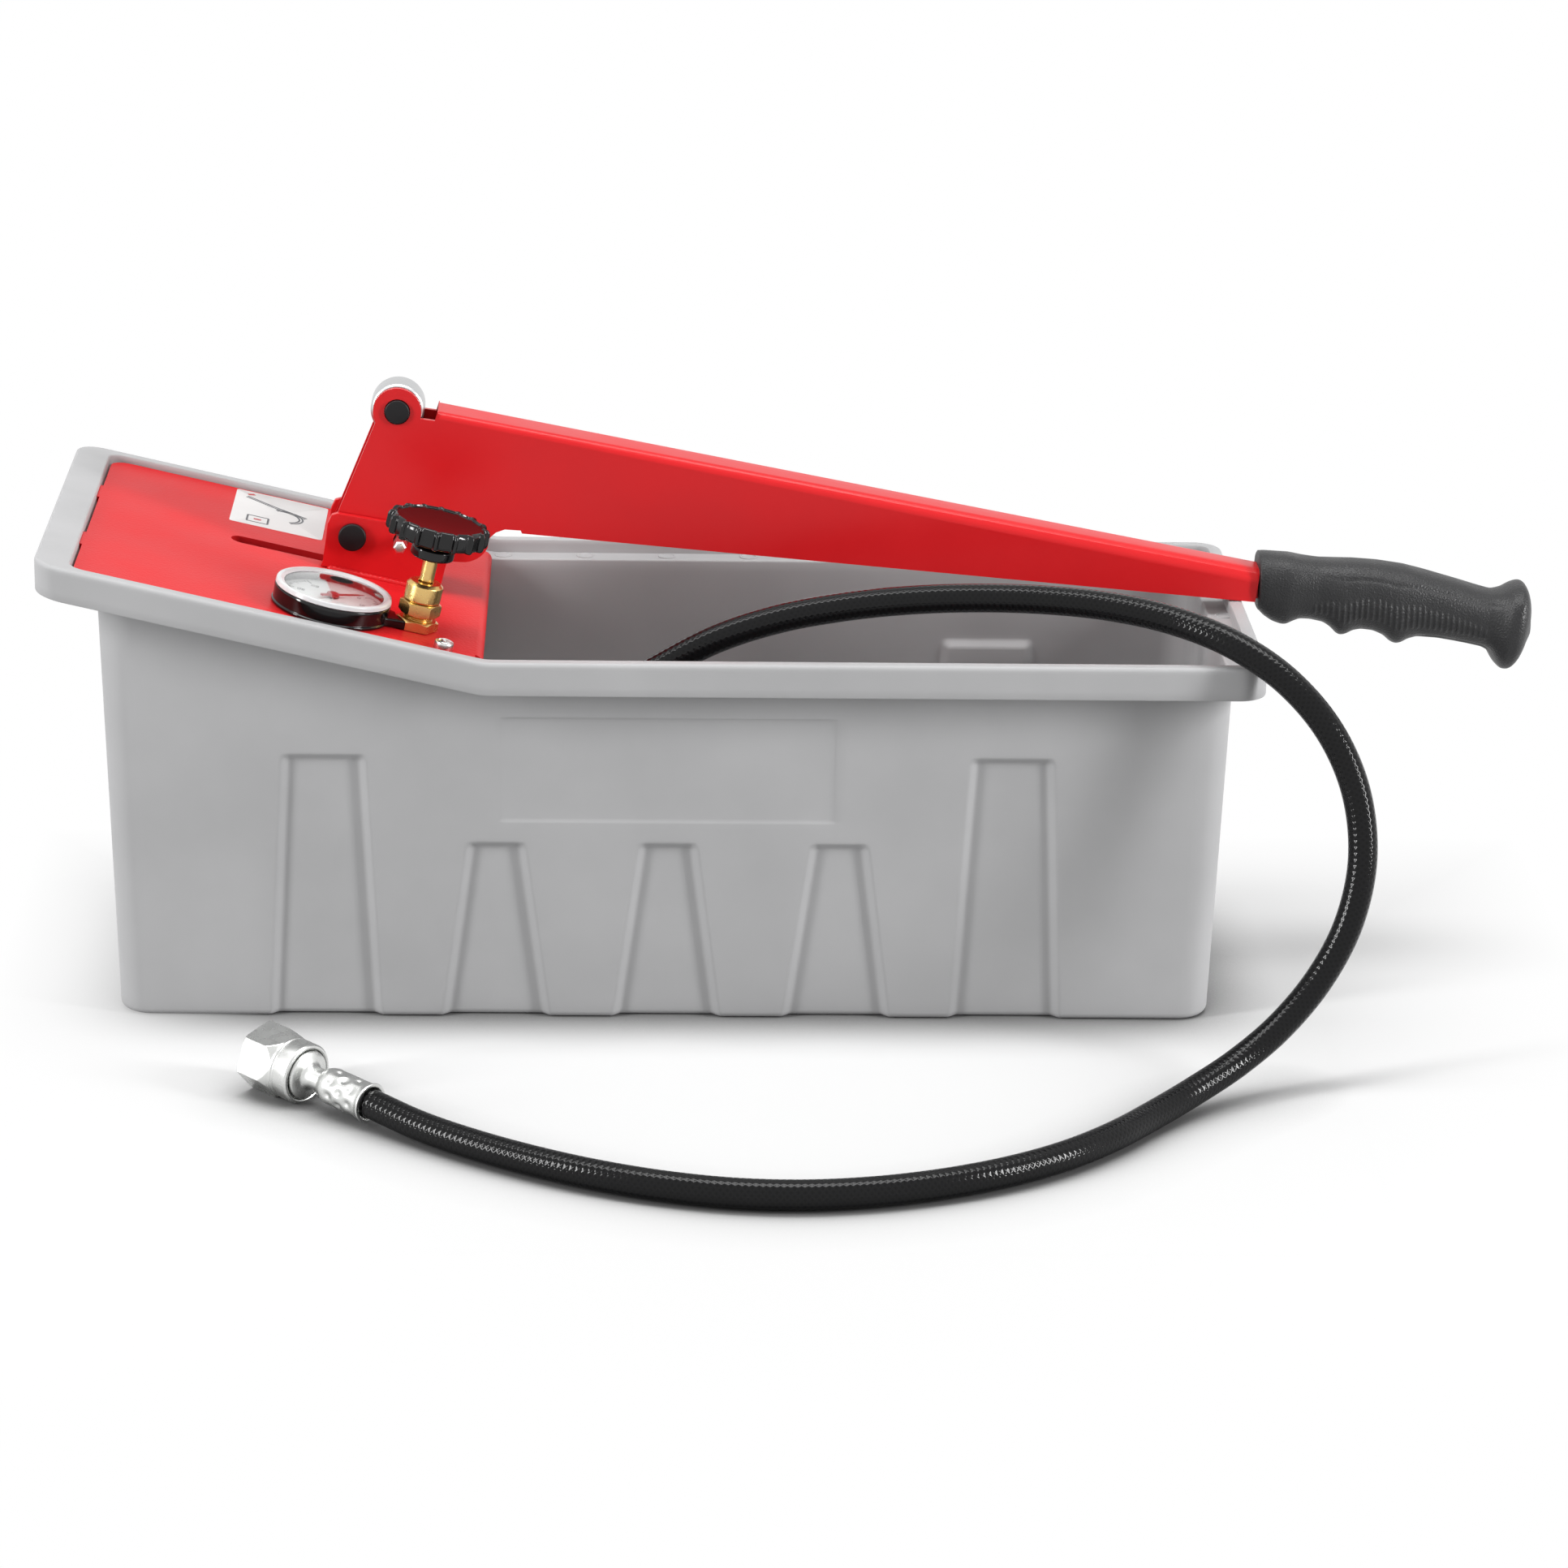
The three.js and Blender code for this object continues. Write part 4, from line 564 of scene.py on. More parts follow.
def around(x0, x1, half, corner, along):
    """Once round a rounded rectangle: front, corner, right end, corner, rear, corner, left end, corner."""
    flat = half - corner
    right = np.linspace(-flat, flat, END_POINTS)
    near = 64 if flat > 64.5 else flat - 2
    left = np.r_[flat, near, TAB_KEYS[:4], 13, 0, -13, TAB_KEYS[4:], -near, -flat]
    lines = [(along, -half), (x1, right), (along[::-1], half), (x0, left)]
    centres = [(x1 - corner, -flat), (x1 - corner, flat), (x0 + corner, flat), (x0 + corner, -flat)]
    ring = []
    for k, (line, (x, y)) in enumerate(zip(lines, centres)):
        a = (np.arange(1, ARC) / ARC + k - 1) * np.pi / 2
        ring += [np.column_stack(np.broadcast_arrays(*line))]
        ring += [np.column_stack([x + corner * np.cos(a), y + corner * np.sin(a)])]
    return np.vstack(ring)


def body_ring(z, inset, inner, fluted=True):
    """The body's plan at one height, moved in by an inset, with the flutes let into both long walls."""
    grow = DRAFT * z - inset
    x0, x1 = BODY_MIDDLE - BODY_HALF_LENGTH - grow, BODY_MIDDLE + BODY_HALF_LENGTH + grow
    corner = BODY_CORNER - inset
    along = filled(long_side(z, x0 + corner, x1 - corner, INNER_GROWTH if inner else 0.0))
    ring = around(x0, x1, BODY_HALF_WIDTH + grow, corner, along)
    if fluted:
        count, step = len(along), recess(along, z, inner)
        rear = count + 2 * (ARC - 1) + END_POINTS
        ring[:count, 1] += step
        ring[rear : rear + count, 1] -= step[::-1]
    return ring


def rim_ring(inset, left_inset):
    """The rim's plan moved in by an inset, by another at its left end."""
    along = filled(long_side(120.0, -238.0, 238.0, 0.0))
    along = np.interp(along, [-238, -195, 205, 238], [-238 + left_inset - inset, -195, 205, 238])
    half_length = RIM_HALF_LENGTH
    return around(left_inset - half_length, half_length - inset, RIM_HALF_WIDTH - inset, RIM_CORNER - inset, along)


def outward(ring):
    """How far each place leans out from the body's middle: 1 at its ends and along its long walls."""
    return (ring - [BODY_MIDDLE, 0]) / [BODY_HALF_LENGTH, BODY_HALF_WIDTH]


def drafted(ring, rise):
    """A ring of the body carried on up its draft, by a rise at each place."""
    return ring + outward(ring) * (DRAFT * rise)[:, None]


print("columns round the tank", len(rim_ring(0, 0)))

# %% [markdown]
# The rows. Where two rows must stand close, as at a flute's top, they are listed closer. Above the flutes the rows
# share out what is left up to the rim, which is higher at the left, so they fan out with the slope.

# %% Tank rows and mesh
FOOT_ROUND, FLOOR, FLOOR_ROUND = 3.0, 4.0, 6.0
RIM_TOP, LEFT_BAND = 6.0, 8.2  # the rolled rim's width, and how much wider it is at its left end
FAN_OUTSIDE, FAN_INSIDE = 122.0, 124.0
rows = []


def add_row(ring, z):
    """Keeps one row: a ring of places and its heights, one or one each."""
    rows.append(np.column_stack([ring, z + 0 * ring[:, 0]]))


def flat_rows(ring, z, shares):
    """A flat floor: the ring closed onto a line down its middle, y by each share and x by 0.6 + 0.4 of it."""
    for share in shares:
        add_row((ring - [BODY_MIDDLE, 0]) * [0.6 + 0.4 * share, share] + [BODY_MIDDLE, 0], z)


def fanned(base, inset, inner, drop, shares):
    """Rows shared out between a level height of the body and a line under the rim."""
    ring = body_ring(base, inset, inner)
    for share in shares:
        z = base + share * (rim_line(ring[:, 0], drop) - base)
        add_row(drafted(ring, z - base), z)


def top_keys(top, growth=0.0):
    """Heights close together round the top of a flute."""
    return [top + growth + step for step in (-3.9, -3.0, -2.3, -1.5, -0.7, 0.0, 0.6, 1.9)]


quarter = np.linspace(0, np.pi / 2, 6)
# the underside, its rounded edge and the outer wall
flat_rows(body_ring(0.0, FOOT_ROUND, False), 0.0, (0.0, 0.5, 0.9))
for turn in quarter:
    z = FOOT_ROUND * (1 - math.cos(turn))
    add_row(body_ring(z, FOOT_ROUND * (1 - math.sin(turn)), False), z)
outer = [7, 12, 20, 30, 41, 52, 62, 69, *top_keys(78), 83, 86.4, 86.9, 87.3, 87.8, 88.6, 95, 103, *top_keys(116)]
for z in outer:
    add_row(body_ring(z, 0, False), z)
outer_shares = (0.0, 0.1, 0.2, 0.28, 0.34, 0.352, 0.36, 0.372, 0.385, 0.42, 0.55, 0.7, 0.85, 1.0)
fanned(FAN_OUTSIDE, 0, False, SKIRT_DROP, outer_shares)
under_edge = rows[-1][:, :2]
for row in rows:
    x, wall, z = row[: COUNTS.sum() + 1].T
    inside = ramp((x - PANEL[0]) / 0.8) * ramp((PANEL[1] - x) / 0.8)
    wall += PANEL[4] * inside * ramp((z - PANEL[2]) / 0.9) * ramp((PANEL[3] - z) / 0.9)
# out under the skirt, then the rim's section as steps of inset and drop
for share in (0.03, 0.5):
    ring = under_edge + share * (rim_ring(3.0, 3.0) - under_edge)
    add_row(ring, rim_line(ring[:, 0], SKIRT_DROP))
rim_steps = [
    (3.0, 8.8), (3.0, 9.3), (3.0, 11), (3.0, 13.3), (2.8, 13.8), (2.3, 14), (0.8, 14), (0.25, 13.8), (0, 13.3),
    (0, 10), (0, 6), (0, 3), (0, 1.8), (0.14, 1.1), (0.45, 0.5), (0.95, 0.12), (1.6, 0), (3.4, 0), (5.3, 0),
    (5.72, 0.12), (6, 0.6),
]
for inset, drop in rim_steps:
    ring = rim_ring(inset, inset if inset < 5 else inset + LEFT_BAND)
    add_row(ring, rim_line(ring[:, 0], drop))
# the left band holds the plate's tabs in two pockets under its lip
step_ring = rim_ring(RIM_TOP, RIM_TOP + LEFT_BAND)
tab = ramp((9.6 - np.abs(step_ring[:, 1] - 37)) / 0.7) + ramp((9.6 - np.abs(step_ring[:, 1] + 36)) / 0.7)
tab *= step_ring[:, 0] < -RIM_HALF_LENGTH + 14.3
for drop, pocket in ((2.3, 0), (2.6, 1), (5.3, 1), (5.6, 0)):
    ring = step_ring - np.column_stack([9.2 * pocket * tab, 0 * tab])
    add_row(ring, rim_line(ring[:, 0], drop + (0.5 * tab if pocket and drop > 5 else 0)))
# the ledge, its rounded edge and the inner wall down to the floor
ledge_edge = body_ring(140.0, WALL, True, fluted=False)
lean = outward(ledge_edge)
ledge_edge = drafted(ledge_edge, rim_line(ledge_edge[:, 0], LEDGE_DROP) - 140.0)
for share in (0.0, 0.06, 0.5, 0.9):
    ring = step_ring + share * (ledge_edge + LEDGE_ROUND * lean - step_ring)
    add_row(ring, rim_line(ring[:, 0], LEDGE_DROP))
for out, drop in ((0.9, 5.8), (0.5, 5.9), (0.15, 6.2), (0.0, 6.7)):
    ring = ledge_edge + out * lean
    add_row(ring, rim_line(ring[:, 0], drop))
fanned(FAN_INSIDE, WALL, True, LEDGE_DROP + LEDGE_ROUND, (0.85, 0.65, 0.45, 0.25, 0.1, 0.0))
inner = [*top_keys(116, INNER_GROWTH)[::-1], 106, 96, 87, *top_keys(78, INNER_GROWTH)[::-1], 68, 58, 47, 36, 26, 17]
for z in inner:
    add_row(body_ring(z, WALL, True), z)
for turn in quarter:
    z = FLOOR + FLOOR_ROUND - FLOOR_ROUND * math.sin(turn)
    add_row(body_ring(z, WALL + FLOOR_ROUND * (1 - math.cos(turn)), True), z)
flat_rows(rows[-1][:, :2], FLOOR, (0.9, 0.5, 0.0))
tank_points = np.array(rows)
make_piece("tank_moulding", tank_points, tank_finish, stands_for="tank", sharp=40)
print("tank rows and columns", tank_points.shape[:2])

# %% [markdown]
# Plate, ears and lever are folded and pressed steel under red powder coat. Powder melts into a glossy film that is
# never quite flat: the plate's is coarse like fine sandpaper, the lever's a gentle orange peel.

# %% Powder coat finishes


def powder_coat(name, colour, darker, grit_mm, depth_mm, roughness, level=0.3):
    """A glossy red film over a grit: fine noise tilts it, slow noise shifts its gloss and its colour a little."""
    finish = new_finish(name, "red_paint", colour, roughness, Specular_IOR_Level=level)
    slow = grain(finish, 35, 2)
    feed(finish, between(finish, slow, 0.15, 0.85, (darker, colour)), "Base Color")
    feed(finish, spread(finish, slow, 0.15, 0.85, roughness - 0.05, roughness + 0.06), "Roughness")
    bumped(finish, grain(finish, grit_mm, 3), depth_mm, 0.7)
    return finish


plate_red = powder_coat("coarse red powder coat", "#CF2024", "#C61C21", 1.3, 0.17, 0.4, 0.14)
lever_red = powder_coat("smooth red powder coat", "#CC1B20", "#C4181D", 2.4, 0.05, 0.3)
print("powder coats ready")

# %% [markdown]
# The sheet pieces keep the exact outline of the model. A copy is merged, its flat facets are joined, and a bevel
# modifier eases every edge, because paint never leaves an edge quite sharp.

# %% Plate, ears and lever
eased_copy("cover_plate", "cover_plate_sheet", 0.55, plate_red)
for side in ("front", "rear"):
    eased_copy(f"{side}_ear", f"{side}_ear_sheet", 0.5, lever_red)
eased_copy("lever", "lever_channel", 0.45, lever_red, "lever")

# %% [markdown]
# Each ear is welded to the plate. A weld bead is a small half-round heap with ripples where the wire was fed. Here it
# is a circle carried along the ear's foot, half of it in the plate, that swells and shrinks every two millimetres.

# %% Weld beads


def rippled_bead(start, end, radius=1.5, ripple_mm=2.2, steps_per_mm=2.5, sides=14):
    """A tube from start to end in the plate's frame: radius (0.85 + 0.15 |sin|), drawn in to nothing at its ends."""
    start, end = np.array(start, float), np.array(end, float)
    length = np.linalg.norm(end - start)
    t = np.linspace(0, 1, int(length * steps_per_mm) + 2)[:, None]
    ease = np.sqrt(np.clip(np.minimum(t, 1 - t) * length / radius, 0, 1))
    r = radius * ease * (0.85 + 0.15 * np.abs(np.sin(np.pi * t * length / ripple_mm)))
    a = circle(sides)
    ahead = unit(end - start)
    side = unit(np.cross(ahead, [0, 0, 1]))
    over = np.cross(side, ahead)
    middle = start + t * (end - start)
    return middle[:, None] + (r * np.cos(a))[..., None] * side + (r * np.sin(a))[..., None] * over


BEAD_LEFT, BEAD_RIGHT, BEAD_HEIGHT = -70, -29, -2.6
ear_feet = (-1.9, 25.9)
points, faces = joined([rippled_bead([BEAD_LEFT, y, BEAD_HEIGHT], [BEAD_RIGHT, y, BEAD_HEIGHT]) for y in ear_feet])
make_piece("ear_weld_beads", points, lever_red, matrix=deck, faces=faces)

# %% [markdown]
# The caps on the pins are black plastic. Turned steel, bright zinc and brass share one finish: a metal whose gloss
# wanders a little under the fine rings of the cutting tool.

# %% Black plastic and metal finishes
cap_black = new_finish("black nylon cap", "black_plastic", "#0E0E10", 0.34, (6, 2, 0.32, 0.46), Specular_IOR_Level=0.3)
bumped(cap_black, grain(cap_black, 1.1, 2), 0.02, 0.4)


def plated_metal(name, slot, colour, roughness, wander, depth_mm):
    """A metal whose gloss wanders, under tool marks of half a millimetre stretched along one way."""
    finish = new_finish(name, slot, colour, roughness, (5, 3, roughness - wander, roughness + wander), Metallic=1.0)
    squeezed = node(finish, "ShaderNodeMapping", {"Vector": own_place(finish), "Scale": (1.0, 0.15, 1.0)}).outputs[0]
    bumped(finish, grain(finish, 0.5, 2, squeezed), depth_mm, 0.6)
    return finish


turned_steel = plated_metal("turned steel", "turned_steel", "#C2C3C4", 0.3, 0.05, 0.003)
zinc = plated_metal("bright zinc plate", "zinc_steel", "#D6D7D5", 0.28, 0.04, 0.003)
brass = plated_metal("turned brass", "brass", "#D9B674", 0.28, 0.05, 0.004)
print("metals ready")

# %% [markdown]
# The pins, the rod and its eye are turned, with small bevels that glint. The eye stands between the lever's cheeks,
# and its bar runs down through the slot in the plate to the piston.

# %% Pins, eye and screw
eye_ring = [
    (5.4, -7.5, 0), (10.3, -7.5, 0.2), (11.2, -6.6, 0.3), (11.2, 6.6, 0.3), (10.3, 7.5, 0.2), (5.4, 7.5, 0),
    (5.4, -7.5, 0),
]
make_piece("rod_eye", turned(eye_ring, 96), turned_steel, "piston_rod", "piston_rod", across(*EYE))
rod_line = unit([EYE[0] - TRUNNION[0], 0, EYE[1] - TRUNNION[1]])
rod_frame = frame_at([EYE[0], LEVER_Y, EYE[1]], np.cross([0, 1, 0], rod_line), [0, 1, 0], rod_line)
bar = [(0, -116.7, 0), (3.1, -116.7, 0.5), (3.1, -102.7, 0.2), (4, -102.7, 0.3), (4, -10.6, 0), (0, -10.6, 0)]
make_piece("rod_bar", turned(bar, 48), turned_steel, "piston_rod", matrix=rod_frame)
cap = [(0, 8.0, 0), (5.0, 8.0, 0.3), (5.0, 13.7, 0), (5.0, 13.8, 0), (5.85, 13.8, 0.2), (5.85, 16.0, 0.7), (0, 16.0, 0)]
for side, sign in (("front", 1), ("rear", -1)):
    mirrored = [(r, sign * h, ease) for r, h, ease in cap]
    make_piece(f"{side}_pivot_cap", turned(mirrored), cap_black, "root", f"{side}_pivot_pin", across(*PIVOT))
upper_pin = [(0, -11.3, 0), (5.15, -11.3, 0.6), (5.15, 11.3, 0.6), (0, 11.3, 0)]
make_piece("upper_rod_pin", turned(upper_pin), cap_black, "lever", "rod_pin", across(*EYE))
screw = [(0, 10.5, 0), (2.9, 10.5, 0.2), (2.9, 24.6, 0.4), (2.0, 25.4, 0.3), (0, 25.5, 0)]
make_piece("ear_screw_turned", turned(screw, 6), zinc, "root", "ear_screw", across(-106.2, 184.4))

# %% [markdown]
# The grip is moulded in black polypropylene around the lever's tongue. Its outline was read off the photograph
# through the solved camera: a top line, a foot line with three pointed finger stops, and a width. A section at each
# place is a squarish oval between them. The side has about thirty raised ribs in a lens-shaped window.

# %% Grip
GRIP_START, GRIP_LENGTH, GRIP_END, SQUARISH = 257.2, 116.9, 374.05, 0.8
WINDOW_START, WINDOW_END, RIB_STEP, RIB_HEIGHT = 22.5, 97.5, 2.45, 0.6
SAMPLE_STEP = 0.345  # millimetres between two places along the grip
grip_along = np.linspace(0, GRIP_LENGTH, 340)
along = grip_along[:, None]
TOP_LINE = np.array([
    [0, -7.4], [2, -7.2], [13, -7.9], [19, -9.2], [26, -10.1], [40, -10.3], [51, -11.1], [62, -12.7], [71, -15],
    [84.5, -18.9], [93.5, -21.9], [99.5, -23.7], [103.5, -22.6], [107, -20.4], [110, -19.6], [112.5, -20.6],
    [114.6, -24.5], [116.2, -30], [116.9, -35],
])
FOOT_LINE = np.array([
    [0, -31.5], [2, -34], [6, -36.7], [10, -38.1], [12, -38.1], [14.6, -36.7], [17.5, -35.5], [22, -35.7], [28, -37],
    [31.5, -39.4], [33.8, -42.1], [35.6, -42.7], [37.8, -42.2], [40.4, -40.6], [44, -39.9], [49.3, -40.5],
    [53.9, -42.5], [56.7, -45.2], [59.2, -46.3], [61.5, -45.8], [64, -44.2], [68, -43], [77, -43.6], [90, -45.8],
    [97, -47.2], [100.5, -48.8], [103.5, -53.6], [107, -56.8], [110, -57], [112.5, -54.8], [114.6, -50.8],
    [116.2, -45.6], [116.9, -41],
])
HALF_WIDTH = np.array([
    [0, 12.3], [2, 12.9], [12, 14], [25, 13.3], [35, 14.5], [44, 14.1], [59, 15], [71, 14.2], [86, 14], [98, 14],
    [102, 15.8], [106, 18.2], [110.5, 18.6], [113, 16.6], [115, 12.5], [116.3, 8], [116.9, 4],
])


def eased_line(table, ease_mm):
    """A broken line sampled along the grip, then averaged over a few neighbours to round its corners."""
    fine = np.interp(grip_along, *table.T)
    weight = np.exp(-0.5 * (np.arange(-12, 13) * SAMPLE_STEP / ease_mm) ** 2)
    padded = np.r_[np.full(12, fine[0]), fine, np.full(12, fine[-1])]
    return np.convolve(padded, weight / weight.sum(), "valid")[:, None]


def window_line(places, values):
    """A broken line along the grip's side, as a share of the way down."""
    return np.interp(grip_along, places, values)[:, None]


top, foot, wide = eased_line(TOP_LINE, 0.9), eased_line(FOOT_LINE, 0.8), eased_line(HALF_WIDTH, 1.0)
c, s = np.cos(circle(112)), np.sin(circle(112))
tall, middle = (top - foot) / 2, (top + foot) / 2
y = wide * np.sign(c) * np.abs(c) ** SQUARISH
z = tall * np.sign(s) * np.abs(s) ** SQUARISH
down = 0.5 - 0.5 * z / tall
# ribs inside a window whose top and foot lines bend
window_top = window_line([22, 30, 40, 60, 76, 97], [0.66, 0.52, 0.45, 0.41, 0.46, 0.57])
window_foot = window_line([22, 30, 60, 76, 97], [0.82, 0.78, 0.76, 0.79, 0.77])
inside = ramp((down - window_top) / 0.04) * ramp((window_foot - down) / 0.04)
inside = inside * ramp((along - WINDOW_START) / 0.4) * ramp((WINDOW_END - along) / 0.4)
ribs = RIB_HEIGHT * inside * (0.5 + 0.5 * np.cos(2 * np.pi * (along - 23.2) / RIB_STEP)) ** 2
# a groove 0.45 mm deep under the top line and one of 0.55 mm above the foot line
crown = ramp((along - 26) / 12) * ramp((106 - along) / 8)
groove_top = 0.45 * crown * np.exp(-(((down - 0.155 - 0.03 * np.sin(along / 30)) / 0.022) ** 2))
keel = ramp((along - 66) / 6) * ramp((102 - along) / 4)
groove_foot = 0.55 * keel * np.exp(-(((down - 0.93) / 0.02) ** 2))
normal_y, normal_z = c / wide, s / tall
out = (ribs - groove_top - groove_foot) / np.hypot(normal_y, normal_z)
y, z = y + out * normal_y, z + out * normal_z
# the butt's disc leans with the photograph's: each section's top lies ahead of its foot
lean = 0.13 * ramp((GRIP_LENGTH - along) / 1.2)
x = GRIP_START + along + 0 * y + lean * z * np.clip((along - 84) / 18, 0, 1)
x = x - np.maximum(0, x - GRIP_END)
grip_points = np.stack([x, LEVER_Y + y, PIVOT[1] + middle + z], -1)
# both ends close on their middles, and the front end is let in a little round the lever
caps = [grip_points[:1].mean(1, keepdims=True), grip_points[-1:].mean(1, keepdims=True)]
lip = (grip_points[:1] - caps[0]) * [1, 0.93, 0.93] + caps[0] - [0.5, 0, 0]
ends = [0 * grip_points[:1] + cap for cap in caps]
grip_grid = np.concatenate([ends[0] - [0.5, 0, 0], lip, grip_points, ends[1]])

grip_black = new_finish(
    "grained black polypropylene", "black_plastic", "#101012", 0.38, (12, 2, 0.34, 0.5), Specular_IOR_Level=0.5
)
cells = {"Vector": own_place(grip_black), "Scale": 1000 / 1.3}
leather = node(grip_black, "ShaderNodeTexVoronoi", cells, feature="DISTANCE_TO_EDGE").outputs["Distance"]
bumped(grip_black, maths(grip_black, "ADD", leather, grain(grip_black, 0.8, 3)), 0.3, 0.7)
make_piece("ribbed_grip", grip_grid, grip_black, "lever", "grip", sharp=75)

# %% [markdown]
# The plate's two bolts have domed heads with a cross cut into them, made by lowering the points that lie near the two
# crossing lines. Under each bolt stands a hollow boss of the tank.

# %% Cover bolts and their bosses
BOLT_ALONG, BOLT_Y = -17.5, 81.0
CROSS_DEPTH, CROSS_HALF_WIDTH, CROSS_REACH = 1.1, 0.62, 2.5


def cross_headed_bolt():
    """Dome: (1 - (r / 4) squared) to the power 0.8. Cross: points within a line's half width go down, eased."""
    r = np.r_[np.linspace(0, 3.5, 22), 3.75, 3.92, 4.0, 4.0, 3.9, 2.5, 2.5, 2.3, 0.0]
    h = 1.1 + 1.5 * (1 - (np.minimum(r, 4) / 4) ** 2) ** 0.8
    h[22:] = [1.2, 0.9, 0.5, -2.35, -2.5, -2.5, -11.8, -12.1, -12.1]
    h[:22] -= 0.35
    points = turned(np.column_stack([r, h]), 80)
    x, y, z = np.moveaxis(points, -1, 0)
    near = np.minimum(np.abs(x), np.abs(y))
    inside = ramp((CROSS_HALF_WIDTH - near) / 0.3) * ramp((CROSS_REACH - np.hypot(x, y)) / 0.5)
    z -= CROSS_DEPTH * inside * (z > 0.6)
    return points


boss = [
    (2.85, -6.15, 0), (6.0, -6.15, 0), (6.0, -13.8, 0.8), (0, -13.8, 0), (0, -12.4, 0), (2.85, -12.4, 0),
    (2.85, -6.15, 0),
]
for side, y in (("front", -BOLT_Y), ("rear", BOLT_Y)):
    bolt_frame = on_deck(BOLT_ALONG, y)
    make_piece(f"{side}_bolt_with_cross", cross_headed_bolt(), zinc, "root", f"{side}_cover_bolt", bolt_frame)
    make_piece(f"{side}_bolt_boss", turned(boss, 48), tank_finish, matrix=bolt_frame)

# %% [markdown]
# The gauge lies face up on the plate. Its case is a black moulding with a small foot flange, and its short neck ends
# square at the brass hexagon. Over the dial sits a clear moulded lens with a raised rim. The lens is a closed shell,
# so light bends twice in it as in the real one.

# %% Gauge case and neck
gauge_frame = on_deck(-65.5, -60.0)
gloss_black = new_finish(
    "black phenolic moulding", "black_plastic", "#0B0A0B", 0.1, (10, 3, 0.06, 0.13), Specular_IOR_Level=0.4
)
bumped(gloss_black, grain(gloss_black, 3.0, 2), 0.015, 0.5)
case = [
    (0, -2.5, 0), (24.4, -2.5, 0.3), (24.5, -1.5, 0.4), (23.9, -1.2, 0.3), (24.3, 4.2, 0.4), (24.1, 5.0, 0.3),
    (22.0, 5.0, 0.3), (22.0, 1.2, 0.3), (0, 1.2, 0),
]
make_piece("gauge_case_turned", turned(case, 144), gloss_black, "root", "gauge_case", gauge_frame)


def rounded_rectangle(half_x, half_y, corner, steps):
    """Places once round a rectangle whose corners are quarter circles."""
    a = np.concatenate([np.linspace(k, k + 1, steps) for k in range(4)]) * np.pi / 2
    x = np.repeat([1, -1, -1, 1], steps) * (half_x - corner) + corner * np.cos(a)
    y = np.repeat([1, 1, -1, -1], steps) * (half_y - corner) + corner * np.sin(a)
    return x, y


NECK_LOW, NECK_HIGH = -2.5, 1.1
# it narrows from the case, meets the hexagon's left corner and runs along its flat to the corner in front
stations = [
    (22.6, -1.0, 1.0, 0.4), (22.7, -7.6, 7.8, 0.7), (23.8, -7.0, 6.9, 0.7), (25.0, -6.5, 6.1, 0.7),
    (26.3, -6.2, 5.3, 0.7), (26.75, -6.15, 2.2, 0.7), (28.5, -6.1, -1.1, 0.5), (30.2, -6.05, -4.1, 0.4),
    (31.1, -6.05, -5.5, 0.2), (31.2, -6.0, -5.6, 0.1),
]
neck = []
for x, y0, y1, corner in stations:
    y, z = rounded_rectangle((y1 - y0) / 2, (NECK_HIGH - NECK_LOW) / 2, corner, 5)
    neck.append(np.column_stack([x + 0 * y, (y0 + y1) / 2 + y, (NECK_LOW + NECK_HIGH) / 2 + z]))
make_piece("gauge_neck", np.array(neck), gloss_black, matrix=gauge_frame)

# %% [markdown]
# The dial is a white disc with a scale of sixty steps, clockwise through 270 degrees from the needle's rest. The marks
# are thin flat bars, all made by one function, and the numbers are built of them like a pocket calculator's, from
# seven bars each.

# %% Dial with its marks
dial_white = new_finish("printed white dial", "dial_white", "#F1F1EE", 0.42)
feed(dial_white, between(dial_white, grain(dial_white, 8, 2), 0.3, 0.7, ("#EEEEEA", "#F4F4F1")), "Base Color")
dial_ink = new_finish("black dial ink", "", "#1C1C1E", 0.5, (2, 2, 0.42, 0.58))
disc = [(1.4, 1.5, 0), (21.7, 1.5, 0.1), (21.7, 2.1, 0.15), (1.4, 2.1, 0.1), (1.4, 1.5, 0)]
make_piece("gauge_dial_disc", turned(disc, 120), dial_white, "root", "gauge_dial", gauge_frame)
REST_TURN, SCALE_DEGREES, SCALE_STEPS = 0.62, 270, 60


def flat_bars(places, half_width, low=2.08, high=2.16):
    """Flat bars on the dial, each from one place to another: four corners, a foot and a face."""
    start, end = places[:, :2], places[:, 2:]
    side = (end - start)[:, ::-1] * [-1, 1]
    side = side / np.linalg.norm(side, axis=1)[:, None] * np.asarray(half_width).reshape(-1, 1)
    corners = np.stack([start - side, end - side, end + side, start + side], 1)
    foot = np.concatenate([corners, np.full_like(corners[..., :1], low)], -1)
    face = np.concatenate([corners, np.full_like(corners[..., :1], high)], -1)
    points = np.concatenate([foot, face], 1)
    box = np.array([[0, 3, 2, 1], [4, 5, 6, 7], [0, 1, 5, 4], [1, 2, 6, 5], [2, 3, 7, 6], [3, 0, 4, 7]])
    return points, (box + 8 * np.arange(len(places))[:, None, None]).reshape(-1, 4)


def pointing(turn):
    """Unit vectors at turns on the dial."""
    return np.stack([np.cos(turn), np.sin(turn)], -1)


step = np.arange(SCALE_STEPS + 1)
marks = pointing(REST_TURN - np.radians(step * SCALE_DEGREES / SCALE_STEPS))
inner_end = np.select([step % 10 == 0, step % 5 == 0], [16.2, 17.2], 18.2)[:, None]
points, faces = flat_bars(np.hstack([inner_end * marks, 19.6 * marks]), np.where(step % 10 == 0, 0.22, 0.12))
make_piece("gauge_scale_ticks", points, dial_ink, matrix=gauge_frame, faces=faces)
